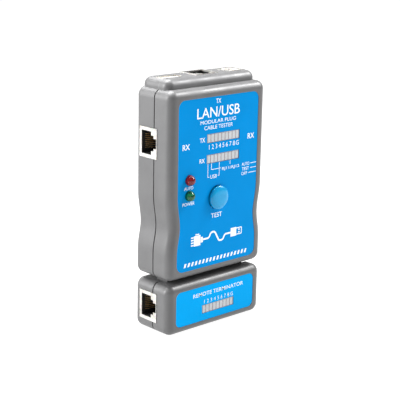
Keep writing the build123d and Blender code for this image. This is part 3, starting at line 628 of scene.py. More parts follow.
# %% [markdown]
# ## Soft vinyl and foam
# The battery snap and its two leads are soft vinyl, which is smooth but never flat, with a greasy
# sheen. The pad that stops the battery from rattling is open foam, all pores. They are one make-up:
# a skin of cells whose size and depth differ, with painted shade that darkens each cell's dent.

# %% Make a soft polymer


def soft_polymer(name, colour, roughness, cell, depth, sheen):
    """Soft vinyl, or foam where the cells are large and deep. cell and depth are in mm."""
    material, nodes, links = empty_material(name)

    place = nodes.new("ShaderNodeTexCoord")
    place.label = "Place on the skin"
    cells = nodes.new("ShaderNodeTexVoronoi")
    cells.label = "Cells of the skin"
    cells.feature = "SMOOTH_F1"
    cells.inputs["Scale"].default_value = 1 / (cell * MM)
    dust = nodes.new("ShaderNodeTexNoise")
    dust.label = "Dust and bloom"
    dust.inputs["Scale"].default_value = 650.0
    dust.inputs["Detail"].default_value = 5.0
    bloom = nodes.new("ShaderNodeValToRGB")
    bloom.label = "Clean to dusty"
    bloom.color_ramp.elements[0].position = 0.35
    bloom.color_ramp.elements[0].color = (*[0.88 * c for c in colour], 1)
    bloom.color_ramp.elements[1].position = 0.8
    bloom.color_ramp.elements[1].color = (*[0.9 * c + 0.05 for c in colour], 1)
    # Painted shade: the colour is darkened towards the middle of each cell, where the bump sinks it into a
    # dent.
    painted_cell_shade = nodes.new("ShaderNodeMix")
    painted_cell_shade.label = "Painted shade in the cells"
    painted_cell_shade.data_type = "RGBA"
    painted_cell_shade.blend_type = "MULTIPLY"
    painted_cell_shade.inputs[0].default_value = 0.25
    dents = nodes.new("ShaderNodeBump")
    dents.label = "Cells felt by the light"
    dents.inputs["Strength"].default_value = 0.7
    dents.inputs["Distance"].default_value = depth * MM
    greasy = nodes.new("ShaderNodeMapRange")
    greasy.label = "Greasy to dry"
    greasy.inputs["To Min"].default_value = roughness - 0.08
    greasy.inputs["To Max"].default_value = roughness + 0.12

    surface = nodes.new("ShaderNodeBsdfPrincipled")
    surface.label = name.replace("_", " ")
    surface.inputs["Sheen Weight"].default_value = sheen
    surface.inputs["Sheen Roughness"].default_value = 0.5
    output = nodes.new("ShaderNodeOutputMaterial")
    output.label = "Soft surface"

    links.new(place.outputs["Object"], cells.inputs["Vector"])
    links.new(place.outputs["Object"], dust.inputs["Vector"])
    links.new(dust.outputs[0], bloom.inputs["Fac"])
    links.new(bloom.outputs["Color"], painted_cell_shade.inputs[6])
    links.new(cells.outputs["Distance"], painted_cell_shade.inputs[7])
    links.new(cells.outputs["Distance"], dents.inputs["Height"])
    links.new(dust.outputs[0], greasy.inputs["Value"])
    links.new(painted_cell_shade.outputs[2], surface.inputs["Base Color"])
    links.new(greasy.outputs["Result"], surface.inputs["Roughness"])
    links.new(dents.outputs["Normal"], surface.inputs["Normal"])
    links.new(surface.outputs["BSDF"], output.inputs["Surface"])

    frame_effects(nodes, {
        "Cells": (place, cells, painted_cell_shade, dents),
        "Dust": (dust, bloom, greasy),
        "Surface": (surface, output),
    })
    print(name, "uses", len(nodes), "nodes")
    return material


# %% [markdown]
# ## Battery can
# A block battery is a steel can in a printed sleeve, dark for most of its length and banded at the
# terminal end. The band follows the can's own length, so its colour comes from the X part of the
# Object coordinate, cut by a constant ramp. The sleeve is glossy and slightly wrinkled.

# %% Make the battery's sleeve


def battery_sleeve(name, band_from, band_to, dark, band, rim):
    """Printed sleeve whose band lies between two places along x, in mm."""
    material, nodes, links = empty_material(name)

    place = nodes.new("ShaderNodeTexCoord")
    place.label = "Place on the can"
    parts = nodes.new("ShaderNodeSeparateXYZ")
    parts.label = "Distance along the can"
    along = nodes.new("ShaderNodeMapRange")
    along.label = "Band's start to band's end"
    along.inputs["From Min"].default_value = band_from * MM
    along.inputs["From Max"].default_value = band_to * MM
    bands = nodes.new("ShaderNodeValToRGB")
    bands.label = "Dark sleeve, rim line, band"
    bands.color_ramp.interpolation = "CONSTANT"
    bands.color_ramp.elements[0].color = (*dark, 1)
    bands.color_ramp.elements[1].position = 0.10
    bands.color_ramp.elements[1].color = (*band, 1)
    rim_stop = bands.color_ramp.elements.new(0.02)
    rim_stop.color = (*rim, 1)

    worn = nodes.new("ShaderNodeTexNoise")
    worn.label = "Scuffs of the sleeve"
    worn.inputs["Scale"].default_value = 260.0
    worn.inputs["Detail"].default_value = 7.0
    scuffed = nodes.new("ShaderNodeMix")
    scuffed.label = "Scuffed print"
    scuffed.data_type = "RGBA"
    scuffed.blend_type = "SOFT_LIGHT"
    scuffed.inputs[0].default_value = 0.35
    wrinkles = nodes.new("ShaderNodeTexNoise")
    wrinkles.label = "Wrinkles of the shrunk sleeve"
    wrinkles.inputs["Scale"].default_value = 380.0
    wrinkles.inputs["Distortion"].default_value = 1.0
    creased = nodes.new("ShaderNodeBump")
    creased.label = "Wrinkles felt by the light"
    creased.inputs["Strength"].default_value = 0.4
    creased.inputs["Distance"].default_value = 0.03 * MM
    gloss = nodes.new("ShaderNodeMapRange")
    gloss.label = "Gloss, dull where scuffed"
    gloss.inputs["To Min"].default_value = 0.16
    gloss.inputs["To Max"].default_value = 0.42

    surface = nodes.new("ShaderNodeBsdfPrincipled")
    surface.label = name.replace("_", " ")
    surface.inputs["Metallic"].default_value = 0.35
    surface.inputs["Coat Weight"].default_value = 0.5
    surface.inputs["Coat Roughness"].default_value = 0.12
    output = nodes.new("ShaderNodeOutputMaterial")
    output.label = "Sleeve surface"

    links.new(place.outputs["Object"], parts.inputs["Vector"])
    links.new(parts.outputs["X"], along.inputs["Value"])
    links.new(along.outputs["Result"], bands.inputs["Fac"])
    links.new(place.outputs["Object"], worn.inputs["Vector"])
    links.new(bands.outputs["Color"], scuffed.inputs[6])
    links.new(worn.outputs[0], scuffed.inputs[7])
    links.new(place.outputs["Object"], wrinkles.inputs["Vector"])
    links.new(wrinkles.outputs[0], creased.inputs["Height"])
    links.new(worn.outputs[0], gloss.inputs["Value"])
    links.new(scuffed.outputs[2], surface.inputs["Base Color"])
    links.new(gloss.outputs["Result"], surface.inputs["Roughness"])
    links.new(creased.outputs["Normal"], surface.inputs["Normal"])
    links.new(surface.outputs["BSDF"], output.inputs["Surface"])

    frame_effects(nodes, {
        "Bands": (place, parts, along, bands),
        "Scuffs and wrinkles": (worn, scuffed, wrinkles, creased),
        "Surface": (gloss, surface, output),
    })
    print(name, "uses", len(nodes), "nodes")
    return material


# %% [markdown]
# ## This tester's finishes
# Each finish answers to a material slot of the imported record.
# Colours are linear. The case is a silver-grey satin, the film a bright cyan blue, and the flat lamps
# a milky white that sits between slightly pinker walls.

# %% Mix the finishes, one for each slot
ROLLED_FRONT_TO_BACK = (5200.0, 260.0, 5200.0)

FINISHES = {
    "case_plastic": moulded_plastic(
        "silver_grey_case", (0.135, 0.135, 0.137), 0.40, 0.26, 0.010, 0.5, flake=0.2, shine=0.45
    ),
    "label_film": printed_film("cyan_blue_label", (0.0, 0.255, 0.65), 0.28),
    "lamp_plastic": moulded_plastic(
        "milky_flat_lamp", (0.50, 0.52, 0.54), 0.32, 0.5, 0.004, 0.2, coat=0.3
    ),
    "lamp_holder_plastic": moulded_plastic(
        "pinkish_lamp_holder", (0.36, 0.29, 0.31), 0.5, 0.3, 0.008, 0.2
    ),
    "red_lens": cast_lens("red_lamp_epoxy", (0.74, 0.003, 0.014), (0.34, 0.001, 0.004), 0.012),
    "green_lens": cast_lens("green_lamp_epoxy", (0.004, 0.40, 0.14), (0.001, 0.15, 0.055), 0.012),
    "button_plastic": moulded_plastic(
        "glossy_blue_button", (0.0, 0.31, 0.62), 0.16, 0.6, 0.002, 0.1, coat=0.6, shine=0.1
    ),
    "socket_metal": plated_metal(
        "tinned_socket_steel", (0.74, 0.73, 0.70), (0.48, 0.46, 0.43), 0.30, ROLLED_FRONT_TO_BACK, 0.2
    ),
    "socket_black": moulded_plastic(
        "black_socket_insert", (0.018, 0.018, 0.019), 0.45, 0.2, 0.008, 0.2
    ),
    "socket_white": moulded_plastic(
        "white_socket_insert", (0.86, 0.85, 0.83), 0.40, 0.2, 0.008, 0.1
    ),
    "contact_gold": plated_metal(
        "gold_contact", (0.96, 0.72, 0.40), (0.74, 0.44, 0.20), 0.34, (9000.0, 9000.0, 900.0)
    ),
    "board_green": circuit_board("green_circuit_board", (0.010, 0.085, 0.030), (0.030, 0.20, 0.06)),
    "chip_black": moulded_plastic(
        "black_chip_epoxy", (0.022, 0.022, 0.024), 0.55, 0.12, 0.006, 0.1
    ),
    "tinned_metal": plated_metal(
        "tinned_lead_wire", (0.77, 0.76, 0.74), (0.50, 0.49, 0.47), 0.28, (700.0, 4000.0, 700.0), 0.3
    ),
    "screw_steel": plated_metal(
        "zinc_plated_screw", (0.68, 0.68, 0.70), (0.40, 0.40, 0.42), 0.32, (3000.0, 300.0, 3000.0), 0.4
    ),
    "switch_metal": plated_metal(
        "nickel_switch_case", (0.70, 0.69, 0.66), (0.46, 0.44, 0.41), 0.30, (400.0, 400.0, 5200.0), 0.1
    ),
    "knob_black": moulded_plastic(
        "black_switch_knob", (0.020, 0.020, 0.021), 0.42, 0.22, 0.010, 0.35
    ),
    "battery_wrap": battery_sleeve(
        "slate_battery_sleeve", 6.5, 20.0, (0.020, 0.024, 0.032), (0.62, 0.64, 0.66), (0.80, 0.10, 0.04)
    ),
    "snap_vinyl": soft_polymer("black_snap_vinyl", (0.022, 0.022, 0.024), 0.45, 0.35, 0.012, 0.3),
    "lead_red": soft_polymer("red_lead_vinyl", (0.52, 0.012, 0.012), 0.38, 0.25, 0.006, 0.2),
    "lead_black": soft_polymer("black_lead_vinyl", (0.018, 0.018, 0.020), 0.38, 0.25, 0.006, 0.2),
    "foam": soft_polymer("charcoal_foam", (0.035, 0.035, 0.037), 0.85, 0.55, 0.22, 0.5),
}
REMOTE_FILM = printed_film("sky_blue_label", (0.0, 0.37, 0.84), 0.28)
WHITE_INK = screen_ink("white_screen_ink", (0.93, 0.95, 0.97), (0.45, 0.68, 0.90), 0.45)

# %% Give every CAD part its finish
for node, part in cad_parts.items():
    slot_name = part.data.materials[0].name
    part.data.materials[0] = FINISHES[slot_name]
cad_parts["remote_label"].data.materials[0] = REMOTE_FILM
print("finished", len(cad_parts), "CAD parts")

# %% [markdown]
# ## Pieces
# Everything added from here is built in millimetres around the frame, then scaled into metres inside
# its own mesh, so that its object stays at the origin, unturned. One helper closes the work: it turns
# the normals outwards, smooths what is round, hands the piece to its body and counts its open edges.

# %% Finish a piece
SAME_POINT = 0.0002 * MM
SHARP = math.radians(32)


def make_piece(name, mesh, finish, body, place=Matrix.Identity(4)):
    """Turn a mesh drawn in millimetres into a piece that rides on a body."""
    mesh.transform(Matrix.Scale(MM, 4) @ place)
    work = bmesh.new()
    work.from_mesh(mesh)
    bmesh.ops.remove_doubles(work, verts=work.verts, dist=SAME_POINT)
    bmesh.ops.recalc_face_normals(work, faces=work.faces)
    open_edges = sum(1 for edge in work.edges if len(edge.link_faces) != 2)
    work.to_mesh(mesh)
    work.free()
    mesh.shade_smooth()
    mesh.set_sharp_from_angle(angle=SHARP)
    mesh.materials.clear()
    mesh.materials.append(finish)
    piece = bpy.data.objects.new(name, mesh)
    scene.collection.objects.link(piece)
    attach(piece, body)
    print(f"{name}: {len(mesh.polygons)} faces, {open_edges} open edges, on {body}")
    return piece


def as_mesh(work, name):
    """A mesh from a finished bmesh."""
    mesh = bpy.data.meshes.new(name)
    work.to_mesh(mesh)
    work.free()
    return mesh


# %% [markdown]
# ## Printing laid flat
# A printer lays out the artwork flat, then presses it on. This lesson does the same: words, bars and
# lines are drawn in a flat sheet whose x is the label's x and whose y is its height, and one matrix
# stands the sheet up on the label's face. Words come from Blender's own font, made into a mesh one
# unit high before they are scaled, because the fill of very small text goes wrong.

# %% Lay out words and bars
INK_LOW, INK_HIGH = -0.012, 0.022      # mm below and above the film
INK_MIDDLE, INK_THICK = (INK_LOW + INK_HIGH) / 2, INK_HIGH - INK_LOW


def stand_up(face):
    """Stand a flat sheet upright on a face at this depth, seen from the front."""
    return Matrix.Translation((0, face, 0)) @ Matrix.Rotation(math.pi / 2, 4, "X")


def lay_bar(sheet, x0, y0, x1, y1):
    """A flat bar between two corners."""
    middle = Matrix.Translation(((x0 + x1) / 2, (y0 + y1) / 2, INK_MIDDLE))
    size = Matrix.Diagonal((x1 - x0, y1 - y0, INK_THICK, 1))
    bmesh.ops.create_cube(sheet, size=1.0, matrix=middle @ size)


def lay_words(sheet, words, x, y, height, width=None, weight=0.014):
    """Words centred at a place, as high as asked, and as wide if a width is given."""
    curve = bpy.data.curves.new("words", "FONT")
    curve.body = words
    curve.extrude = 0.1
    curve.offset = weight
    curve.resolution_u = 5
    writer = bpy.data.objects.new("words", curve)
    scene.collection.objects.link(writer)
    bpy.context.view_layer.update()
    drawn = writer.evaluated_get(bpy.context.evaluated_depsgraph_get())
    mesh = bpy.data.meshes.new_from_object(drawn)
    bpy.data.objects.remove(writer)
    bpy.data.curves.remove(curve)
    corners = [Vector(p(v.co[axis] for v in mesh.vertices) for axis in range(3)) for p in (min, max)]
    span = corners[1] - corners[0]
    middle = (corners[0] + corners[1]) / 2
    tall = height / span.y
    wide = tall if width is None else width / span.x
    fit = Matrix.Diagonal((wide, tall, INK_THICK / span.z, 1))
    place = Matrix.Translation((x, y, INK_MIDDLE))
    mesh.transform(place @ fit @ Matrix.Translation(-middle))
    sheet.from_mesh(mesh)
    bpy.data.meshes.remove(mesh)


print(f"ink is {INK_THICK:.3f} mm thick")

# %% [markdown]
# ## The master's words
# What the label says is only what each lamp, socket and switch position is for. Widths are given
# where a word has to end at a certain place, and the rest keep the font's own proportions.

# %% Print the master's title
TITLES = (
    # words, x, z, height, width, weight
    ("TX", -0.9, 122.5, 2.4, 3.4, 0.004),
    ("LAN/USB", -0.65, 117.0, 5.4, 30.3, 0.004),
    ("MODULAR PLUG", -0.8, 112.1, 1.9, 25.2, 0.0),
    ("CABLE TESTER", -0.45, 109.1, 2.0, 20.4, 0.0),
)
sheet = bmesh.new()
for title in TITLES:
    lay_words(sheet, *title)
make_piece("title_print", as_mesh(sheet, "title_print"), WHITE_INK, "master_unit",
           stand_up(LABEL_FACE))

# %% Print the lamp names, the numbers and the switch positions
LAMP_PITCH, LAMP_COUNT = 2.54, 9
LAMP_MARKS = "12345678G"
SWITCH_STEP = 2.55                     # mm between neighbouring positions of the mode switch
LEGENDS = (
    # words, x, z, height, width, weight
    ("RX", -23.05, 100.7, 2.9, 4.9, 0.014),
    ("RX", 23.45, 101.2, 2.9, 4.9, 0.014),
    ("USB", -3.4, 82.8, 2.0, 4.6, 0.0),
    ("RJ11/RJ12", 8.9, 85.8, 2.0, 12.6, 0.0),
    ("TEST", -0.6, 61.5, 2.5, 7.8, 0.004),
)


def number_lamps(sheet, bar, z, height):
    """A mark for each flat lamp of a bar, centred on the lamp."""
    for number, mark in enumerate(LAMP_MARKS):
        x = bar.x + (number - LAMP_COUNT // 2) * LAMP_PITCH
        lay_words(sheet, mark, x, z, height, None, -0.004)


sheet = bmesh.new()
tx_low, _, tx_middle = reach("tx_lamps")
rx_middle = reach("rx_lamps")[2]
for words, bar in (("TX", tx_middle), ("RX", rx_middle)):
    lay_words(sheet, words, bar.x - 15.0, bar.z - 0.3, 2.3, 3.6, 0.01)
number_lamps(sheet, tx_middle, tx_low.z - 2.4, 2.4)
for legend in LEGENDS:
    lay_words(sheet, *legend)
knob = reach("mode_switch_knob")[2]
for words, step, x, width in (("AUTO", 2, 20.0, 5.6), ("TEST", 1, 20.0, 5.2), ("OFF", 0, 19.2, 4.2)):
    lay_words(sheet, words, x, knob.z + SWITCH_STEP * step, 1.75, width, 0.0)
for node, words, width in (("auto_lamp", "AUTO", 6.2), ("power_lamp", "POWER", 8.3)):
    lamp = reach(node)[2]
    lay_words(sheet, words, lamp.x - 0.4, lamp.z - 4.25, 1.7, width, 0.004)
make_piece("legend_print", as_mesh(sheet, "legend_print"), WHITE_INK, "master_unit",
           stand_up(LABEL_FACE))

# %% [markdown]
# ## Lines that follow a path
# Thin lines tie the lamps to their names, and a cable winds between two plugs in the pictogram that
# fills the lower part of the label. Both are one flat profile swept along a path with rounded
# corners, which is what Geometry Nodes do well: the same tree takes a path, a corner radius, a width
# and a thickness, so a change of width is a change of one number.

# %% Build the tree that sweeps a flat line


def swept_line_tree():
    """Geometry Nodes that sweep a flat strip along the edges of a mesh."""
    tree = bpy.data.node_groups.new("swept_line", "GeometryNodeTree")
    sockets = tree.interface
    sockets.new_socket(name="Path", in_out="INPUT", socket_type="NodeSocketGeometry")
    for title, value in (("Corner Radius", 0.3), ("Width", 0.3), ("Thickness", 0.03)):
        made = sockets.new_socket(name=title, in_out="INPUT", socket_type="NodeSocketFloat")
        made.default_value = value
    sockets.new_socket(name="Finish", in_out="INPUT", socket_type="NodeSocketMaterial")
    sockets.new_socket(name="Strip", in_out="OUTPUT", socket_type="NodeSocketGeometry")
    nodes, links = tree.nodes, tree.links

    given = nodes.new("NodeGroupInput")
    given.label = "Path and sizes"
    line = nodes.new("GeometryNodeMeshToCurve")
    line.label = "Edges to a line"
    rounded = nodes.new("GeometryNodeFilletCurve")
    rounded.label = "Round the corners"
    level = nodes.new("GeometryNodeSetCurveNormal")
    level.label = "Keep the strip level"
    level.mode = "Z_UP"
    profile = nodes.new("GeometryNodeCurvePrimitiveQuadrilateral")
    profile.label = "Cross-section"
    sweep = nodes.new("GeometryNodeCurveToMesh")
    sweep.label = "Sweep it"
    sweep.inputs["Fill Caps"].default_value = True
    real = nodes.new("GeometryNodeRealizeInstances")
    real.label = "Make it real"
    finish = nodes.new("GeometryNodeSetMaterial")
    finish.label = "Give it its finish"
    result = nodes.new("NodeGroupOutput")
    result.label = "Swept strip"
    for column, node in enumerate((given, line, rounded, level, profile, sweep, real, finish, result)):
        node.location = (220 * column, -160 * (node == profile))

    rounded.mode = "POLY"
    rounded.inputs["Count"].default_value = 6
    links.new(given.outputs["Path"], line.inputs["Mesh"])
    links.new(line.outputs["Curve"], rounded.inputs["Curve"])
    links.new(given.outputs["Corner Radius"], rounded.inputs["Radius"])
    links.new(rounded.outputs["Curve"], level.inputs["Curve"])
    links.new(given.outputs["Width"], profile.inputs["Width"])
    links.new(given.outputs["Thickness"], profile.inputs["Height"])
    links.new(level.outputs["Curve"], sweep.inputs["Curve"])
    links.new(profile.outputs["Curve"], sweep.inputs["Profile Curve"])
    links.new(sweep.outputs["Mesh"], real.inputs["Geometry"])
    links.new(real.outputs["Geometry"], finish.inputs["Geometry"])
    links.new(given.outputs["Finish"], finish.inputs["Material"])
    links.new(finish.outputs["Geometry"], result.inputs["Strip"])
    print("swept_line tree has", len(nodes), "nodes")
    return tree


SWEPT_LINE = swept_line_tree()

# %% Run a tree and keep its result as a plain mesh


def run_tree(tree, start, values):
    """Run a Geometry Nodes tree on a mesh and return what it makes as a plain mesh."""
    carrier = bpy.data.objects.new("carrier", start)
    scene.collection.objects.link(carrier)
    modifier = carrier.modifiers.new("nodes", "NODES")
    modifier.node_group = tree
    for item in tree.interface.items_tree:
        if item.in_out == "INPUT" and item.name in values:
            modifier[item.identifier] = values[item.name]
    bpy.context.view_layer.update()
    made = carrier.evaluated_get(bpy.context.evaluated_depsgraph_get())
    mesh = bpy.data.meshes.new_from_object(made)
    carrier.modifiers.remove(modifier)
    bpy.data.objects.remove(carrier)
    return mesh


def path_mesh(paths, closed=False):
    """Points joined by edges, one run for each path."""
    points = [(*point, 0.0) for path in paths for point in path]
    edges = []
    start = 0
    for path in paths:
        edges += [(start + n, start + n + 1) for n in range(len(path) - 1)]
        if closed:
            edges.append((start + len(path) - 1, start))
        start += len(path)
    mesh = bpy.data.meshes.new("path")
    mesh.from_pydata(points, edges, [])
    return mesh


# %% Print the bracket lines
BRACKETS = [
    # points at x and z
    [(-7.6, 89.9), (-7.6, 82.8), (-6.5, 82.8)],
    [(-0.3, 82.8), (0.55, 82.8), (0.55, 89.9)],
    [(-5.1, 89.9), (-5.1, 86.6), (1.6, 86.6)],
    [(8.4, 89.9), (8.4, 87.7)],
]
LINE_END = 28.0                        # mm; where the switch's three lines end
for step, x in ((2, 23.7), (1, 23.7), (0, 22.4)):
    z = knob.z + SWITCH_STEP * step
    BRACKETS.append([(x, z), (LINE_END, z)])
strip = run_tree(SWEPT_LINE, path_mesh(BRACKETS), {
    "Corner Radius": 0.25, "Width": 0.30, "Thickness": INK_THICK, "Finish": WHITE_INK,
})
make_piece("bracket_print", strip, WHITE_INK, "master_unit",
           stand_up(LABEL_FACE - INK_MIDDLE))

# %% [markdown]
# ## A pictogram of a cable between two plugs
# The lower part of the label carries a plain picture: a network plug on the left, a flat plug on the
# right and a cable between them. The plugs are bars, listed one by one because nothing in them repeats
# often, and the cable is a path through the same tree as the brackets, only wider and rounder.

# %% Print the pictogram
PLUG_BARS = (
    # corners x0, z0, x1, z1: body, neck and latch of one plug, then body and contacts of the other
    (-16.6, 46.9, -11.9, 52.5),
    (-11.7, 48.2, -10.2, 51.2),
    (-15.6, 52.8, -12.9, 53.4),
    (10.2, 47.3, 14.4, 52.1),
    (15.9, 48.55, 17.0, 49.35),
    (15.9, 50.05, 17.0, 50.85),
)
PRONGS, PRONG_PITCH = 4, 1.4
FIRST_PRONG = (-18.6, 47.25, -16.8, 47.95)
sheet = bmesh.new()
for bar in PLUG_BARS:
    lay_bar(sheet, *bar)
for prong in range(PRONGS):
    x0, z0, x1, z1 = FIRST_PRONG
    lay_bar(sheet, x0, z0 + PRONG_PITCH * prong, x1, z1 + PRONG_PITCH * prong)
plugs = as_mesh(sheet, "plugs")
cable = [(-10.0, 49.7), (-5.9, 49.7), (-4.3, 52.5), (-1.6, 52.5), (1.6, 46.9), (4.3, 46.9),
         (5.9, 49.7), (10.2, 49.7)]
shell = [(14.4, 47.95), (18.3, 47.95), (18.3, 51.45), (14.4, 51.45)]
line = run_tree(SWEPT_LINE, path_mesh([cable]), {
    "Corner Radius": 1.6, "Width": 0.95, "Thickness": INK_THICK, "Finish": WHITE_INK,
})
rim = run_tree(SWEPT_LINE, path_mesh([shell]), {
    "Corner Radius": 0.4, "Width": 0.5, "Thickness": INK_THICK, "Finish": WHITE_INK,
})
sheet = bmesh.new()
sheet.from_mesh(plugs)
for mesh in (line, rim):
    mesh.transform(Matrix.Translation((0, 0, INK_MIDDLE)))
    sheet.from_mesh(mesh)
make_piece("cable_pictogram", as_mesh(sheet, "cable_pictogram"), WHITE_INK, "master_unit",
           stand_up(LABEL_FACE))

# %% [markdown]
# ## A stripe of slanted dashes
# Under the pictogram runs a plain stripe of dashes. It is one dash repeated, so it is a Geometry
# Nodes row: a line of points, one small box on each, and a shear that slants them all alike.

# %% Build the tree that repeats a slanted dash


def dash_row_tree():
    """Geometry Nodes that set slanted dashes along a row."""
    tree = bpy.data.node_groups.new("dash_row", "GeometryNodeTree")
    sockets = tree.interface
    sockets.new_socket(name="Geometry", in_out="INPUT", socket_type="NodeSocketGeometry")
    count = sockets.new_socket(name="Count", in_out="INPUT", socket_type="NodeSocketInt")
    count.default_value = 20
    for title, value in (("Pitch", 2.0), ("Dash Size", 1.0), ("Dash Height", 1.6),
                         ("Slant", 0.4), ("Thickness", 0.03)):
        made = sockets.new_socket(name=title, in_out="INPUT", socket_type="NodeSocketFloat")
        made.default_value = value
    sockets.new_socket(name="Finish", in_out="INPUT", socket_type="NodeSocketMaterial")
    sockets.new_socket(name="Row", in_out="OUTPUT", socket_type="NodeSocketGeometry")
    nodes, links = tree.nodes, tree.links

    given = nodes.new("NodeGroupInput")
    given.label = "Row and dash sizes"
    step = nodes.new("ShaderNodeCombineXYZ")
    step.label = "Step along the row"
    row = nodes.new("GeometryNodeMeshLine")
    row.label = "One point for each dash"
    size = nodes.new("ShaderNodeCombineXYZ")
    size.label = "Size of a dash"
    dash = nodes.new("GeometryNodeMeshCube")
    dash.label = "One dash"
    here = nodes.new("GeometryNodeInputPosition")
    here.label = "Place within the dash"
    parts = nodes.new("ShaderNodeSeparateXYZ")
    parts.label = "Height within the dash"
    lean = nodes.new("ShaderNodeMath")
    lean.label = "Lean grows with height"
    lean.operation = "MULTIPLY"
    shove = nodes.new("ShaderNodeCombineXYZ")
    shove.label = "Sideways shove"
    slanted = nodes.new("GeometryNodeSetPosition")
    slanted.label = "Slant the dash"
    copies = nodes.new("GeometryNodeInstanceOnPoints")
    copies.label = "A dash on each point"
    real = nodes.new("GeometryNodeRealizeInstances")
    real.label = "Make them real"
    finish = nodes.new("GeometryNodeSetMaterial")
    finish.label = "Give them their finish"
    result = nodes.new("NodeGroupOutput")
    result.label = "Row of dashes"
    for column, node in enumerate((given, step, row, size, dash, here, parts, lean, shove, slanted,
                                   copies, real, finish, result)):
        node.location = (200 * column, -180 * (column % 2))

    links.new(given.outputs["Pitch"], step.inputs["X"])
    links.new(given.outputs["Count"], row.inputs["Count"])
    links.new(step.outputs["Vector"], row.inputs["Offset"])
    links.new(given.outputs["Dash Size"], size.inputs["X"])
    links.new(given.outputs["Dash Height"], size.inputs["Y"])
    links.new(given.outputs["Thickness"], size.inputs["Z"])
    links.new(size.outputs["Vector"], dash.inputs["Size"])
    links.new(here.outputs["Position"], parts.inputs["Vector"])
    links.new(parts.outputs["Y"], lean.inputs[0])
    links.new(given.outputs["Slant"], lean.inputs[1])
    links.new(lean.outputs[0], shove.inputs["X"])
    links.new(dash.outputs["Mesh"], slanted.inputs["Geometry"])
    links.new(shove.outputs["Vector"], slanted.inputs["Offset"])
    links.new(row.outputs["Mesh"], copies.inputs["Points"])
    links.new(slanted.outputs["Geometry"], copies.inputs["Instance"])
    links.new(copies.outputs["Instances"], real.inputs["Geometry"])
    links.new(real.outputs["Geometry"], finish.inputs["Geometry"])
    links.new(given.outputs["Finish"], finish.inputs["Material"])
    links.new(finish.outputs["Geometry"], result.inputs["Row"])
    print("dash_row tree has", len(nodes), "nodes")
    return tree


# %% Print the stripe
DASHES, DASH_PITCH = 18, 2.6
STRIPE_X, STRIPE_Z = -0.4, 37.5        # middle of the stripe
row = run_tree(dash_row_tree(), bpy.data.meshes.new("row"), {
    "Count": DASHES, "Pitch": DASH_PITCH, "Dash Size": 1.25, "Dash Height": 2.1, "Slant": 0.35,
    "Thickness": INK_THICK, "Finish": WHITE_INK,
})
first_dash = STRIPE_X - DASH_PITCH * (DASHES - 1) / 2
row.transform(Matrix.Translation((first_dash, STRIPE_Z, INK_MIDDLE)))
make_piece("stripe_print", row, WHITE_INK, "master_unit", stand_up(LABEL_FACE))

# %% [markdown]
# ## The remote's words
# The remote names itself and numbers its lamps. Its film is a separate label on a separate body, so
# its print is a separate piece that leaves with it when the remote slides off.

# %% Print the remote's label
remote_face = reach("remote_label")[0].y
_, far_high, far_middle = reach("remote_lamps")
sheet = bmesh.new()
lay_words(sheet, "REMOTE TERMINATOR", 2.25, 19.1, 2.1, 37.0, 0.002)
number_lamps(sheet, far_middle, far_high.z + 2.05, 2.0)
make_piece("remote_print", as_mesh(sheet, "remote_print"), WHITE_INK, "remote_unit",
           stand_up(remote_face))

# %% [markdown]
# ## Inside the round lamps
# Look into a round lamp and there is a small polished cup with a grain of crystal in it, and a second
# post that a hair-thin gold wire reaches over to. The cup and posts are turned and bent metal, so a
# profile is turned about the lamp's axis, and the wire is the swept line again, thin and square.

# %% Turn a profile about a lamp's axis


def turned(work, profile, x, z, segments=28):
    """A closed turned shape. profile is (radius, y) pairs from one end of the axis to the other."""
    rings = []
    for radius, y in profile:
        if radius == 0:
            rings.append([work.verts.new((x, y, z))])
            continue
        angles = [2 * math.pi * n / segments for n in range(segments)]
        rings.append([work.verts.new((x + radius * math.cos(a), y, z + radius * math.sin(a)))
                      for a in angles])
    for ring, after in zip(rings, rings[1:]):
        for n in range(segments):
            near = [ring[n % len(ring)], ring[(n + 1) % len(ring)]]
            far = [after[(n + 1) % len(after)], after[n % len(after)]]
            corners = list(dict.fromkeys(near + far))
            work.faces.new(corners)


# %% Build the works of a round lamp
CUP_DEPTH = 3.1                        # mm from the lamp's tip to the cup's mouth
CUP_X, POST_X = -0.35, 1.1             # mm from the lamp's axis
POSTS_END = 3.4                        # mm from the posts' end to the legs' end
POST_THICK = 0.45
CRYSTAL = (0.34, 0.26, 0.34)


def lamp_core(name, node):
    """Cup, crystal and two posts inside one round lamp, and the wire between them."""
    low, high, middle = reach(node)
    cup_x, post_x, z = middle.x + CUP_X, middle.x + POST_X, middle.z
    mouth, base = low.y + CUP_DEPTH, high.y - POSTS_END
    work = bmesh.new()
    cup = ((0, mouth + 0.55), (0.42, mouth + 0.55), (0.95, mouth), (1.12, mouth), (0.75, mouth + 1.1),
           (0.62, mouth + 1.5), (0, mouth + 1.5))
    turned(work, cup, cup_x, z)
    for x, top, half_wide in ((cup_x, mouth + 1.4, 0.42), (post_x, mouth + 0.2, 0.3)):
        size = Matrix.Diagonal((2 * half_wide, base - top, POST_THICK, 1))
        place = Matrix.Translation((x, (top + base) / 2, z))
        bmesh.ops.create_cube(work, size=1.0, matrix=place @ size)
    crystal = Matrix.Translation((cup_x, mouth + 0.42, z)) @ Matrix.Diagonal((*CRYSTAL, 1))
    bmesh.ops.create_cube(work, size=1.0, matrix=crystal)
    make_piece(name, as_mesh(work, name), FINISHES["tinned_metal"], "master_unit")
    wire = [(cup_x, mouth + 0.3), (cup_x + 0.15, mouth - 0.25), (post_x - 0.4, mouth - 0.35),
            (post_x, mouth + 0.25)]
    strip = run_tree(SWEPT_LINE, path_mesh([wire]), {
        "Corner Radius": 0.25, "Width": 0.06, "Thickness": 0.06, "Finish": FINISHES["contact_gold"],
    })
    make_piece(name + "_wire", strip, FINISHES["contact_gold"], "master_unit",
               Matrix.Translation((0, 0, z)))


lamp_core("auto_lamp_core", "auto_lamp")
lamp_core("power_lamp_core", "power_lamp")

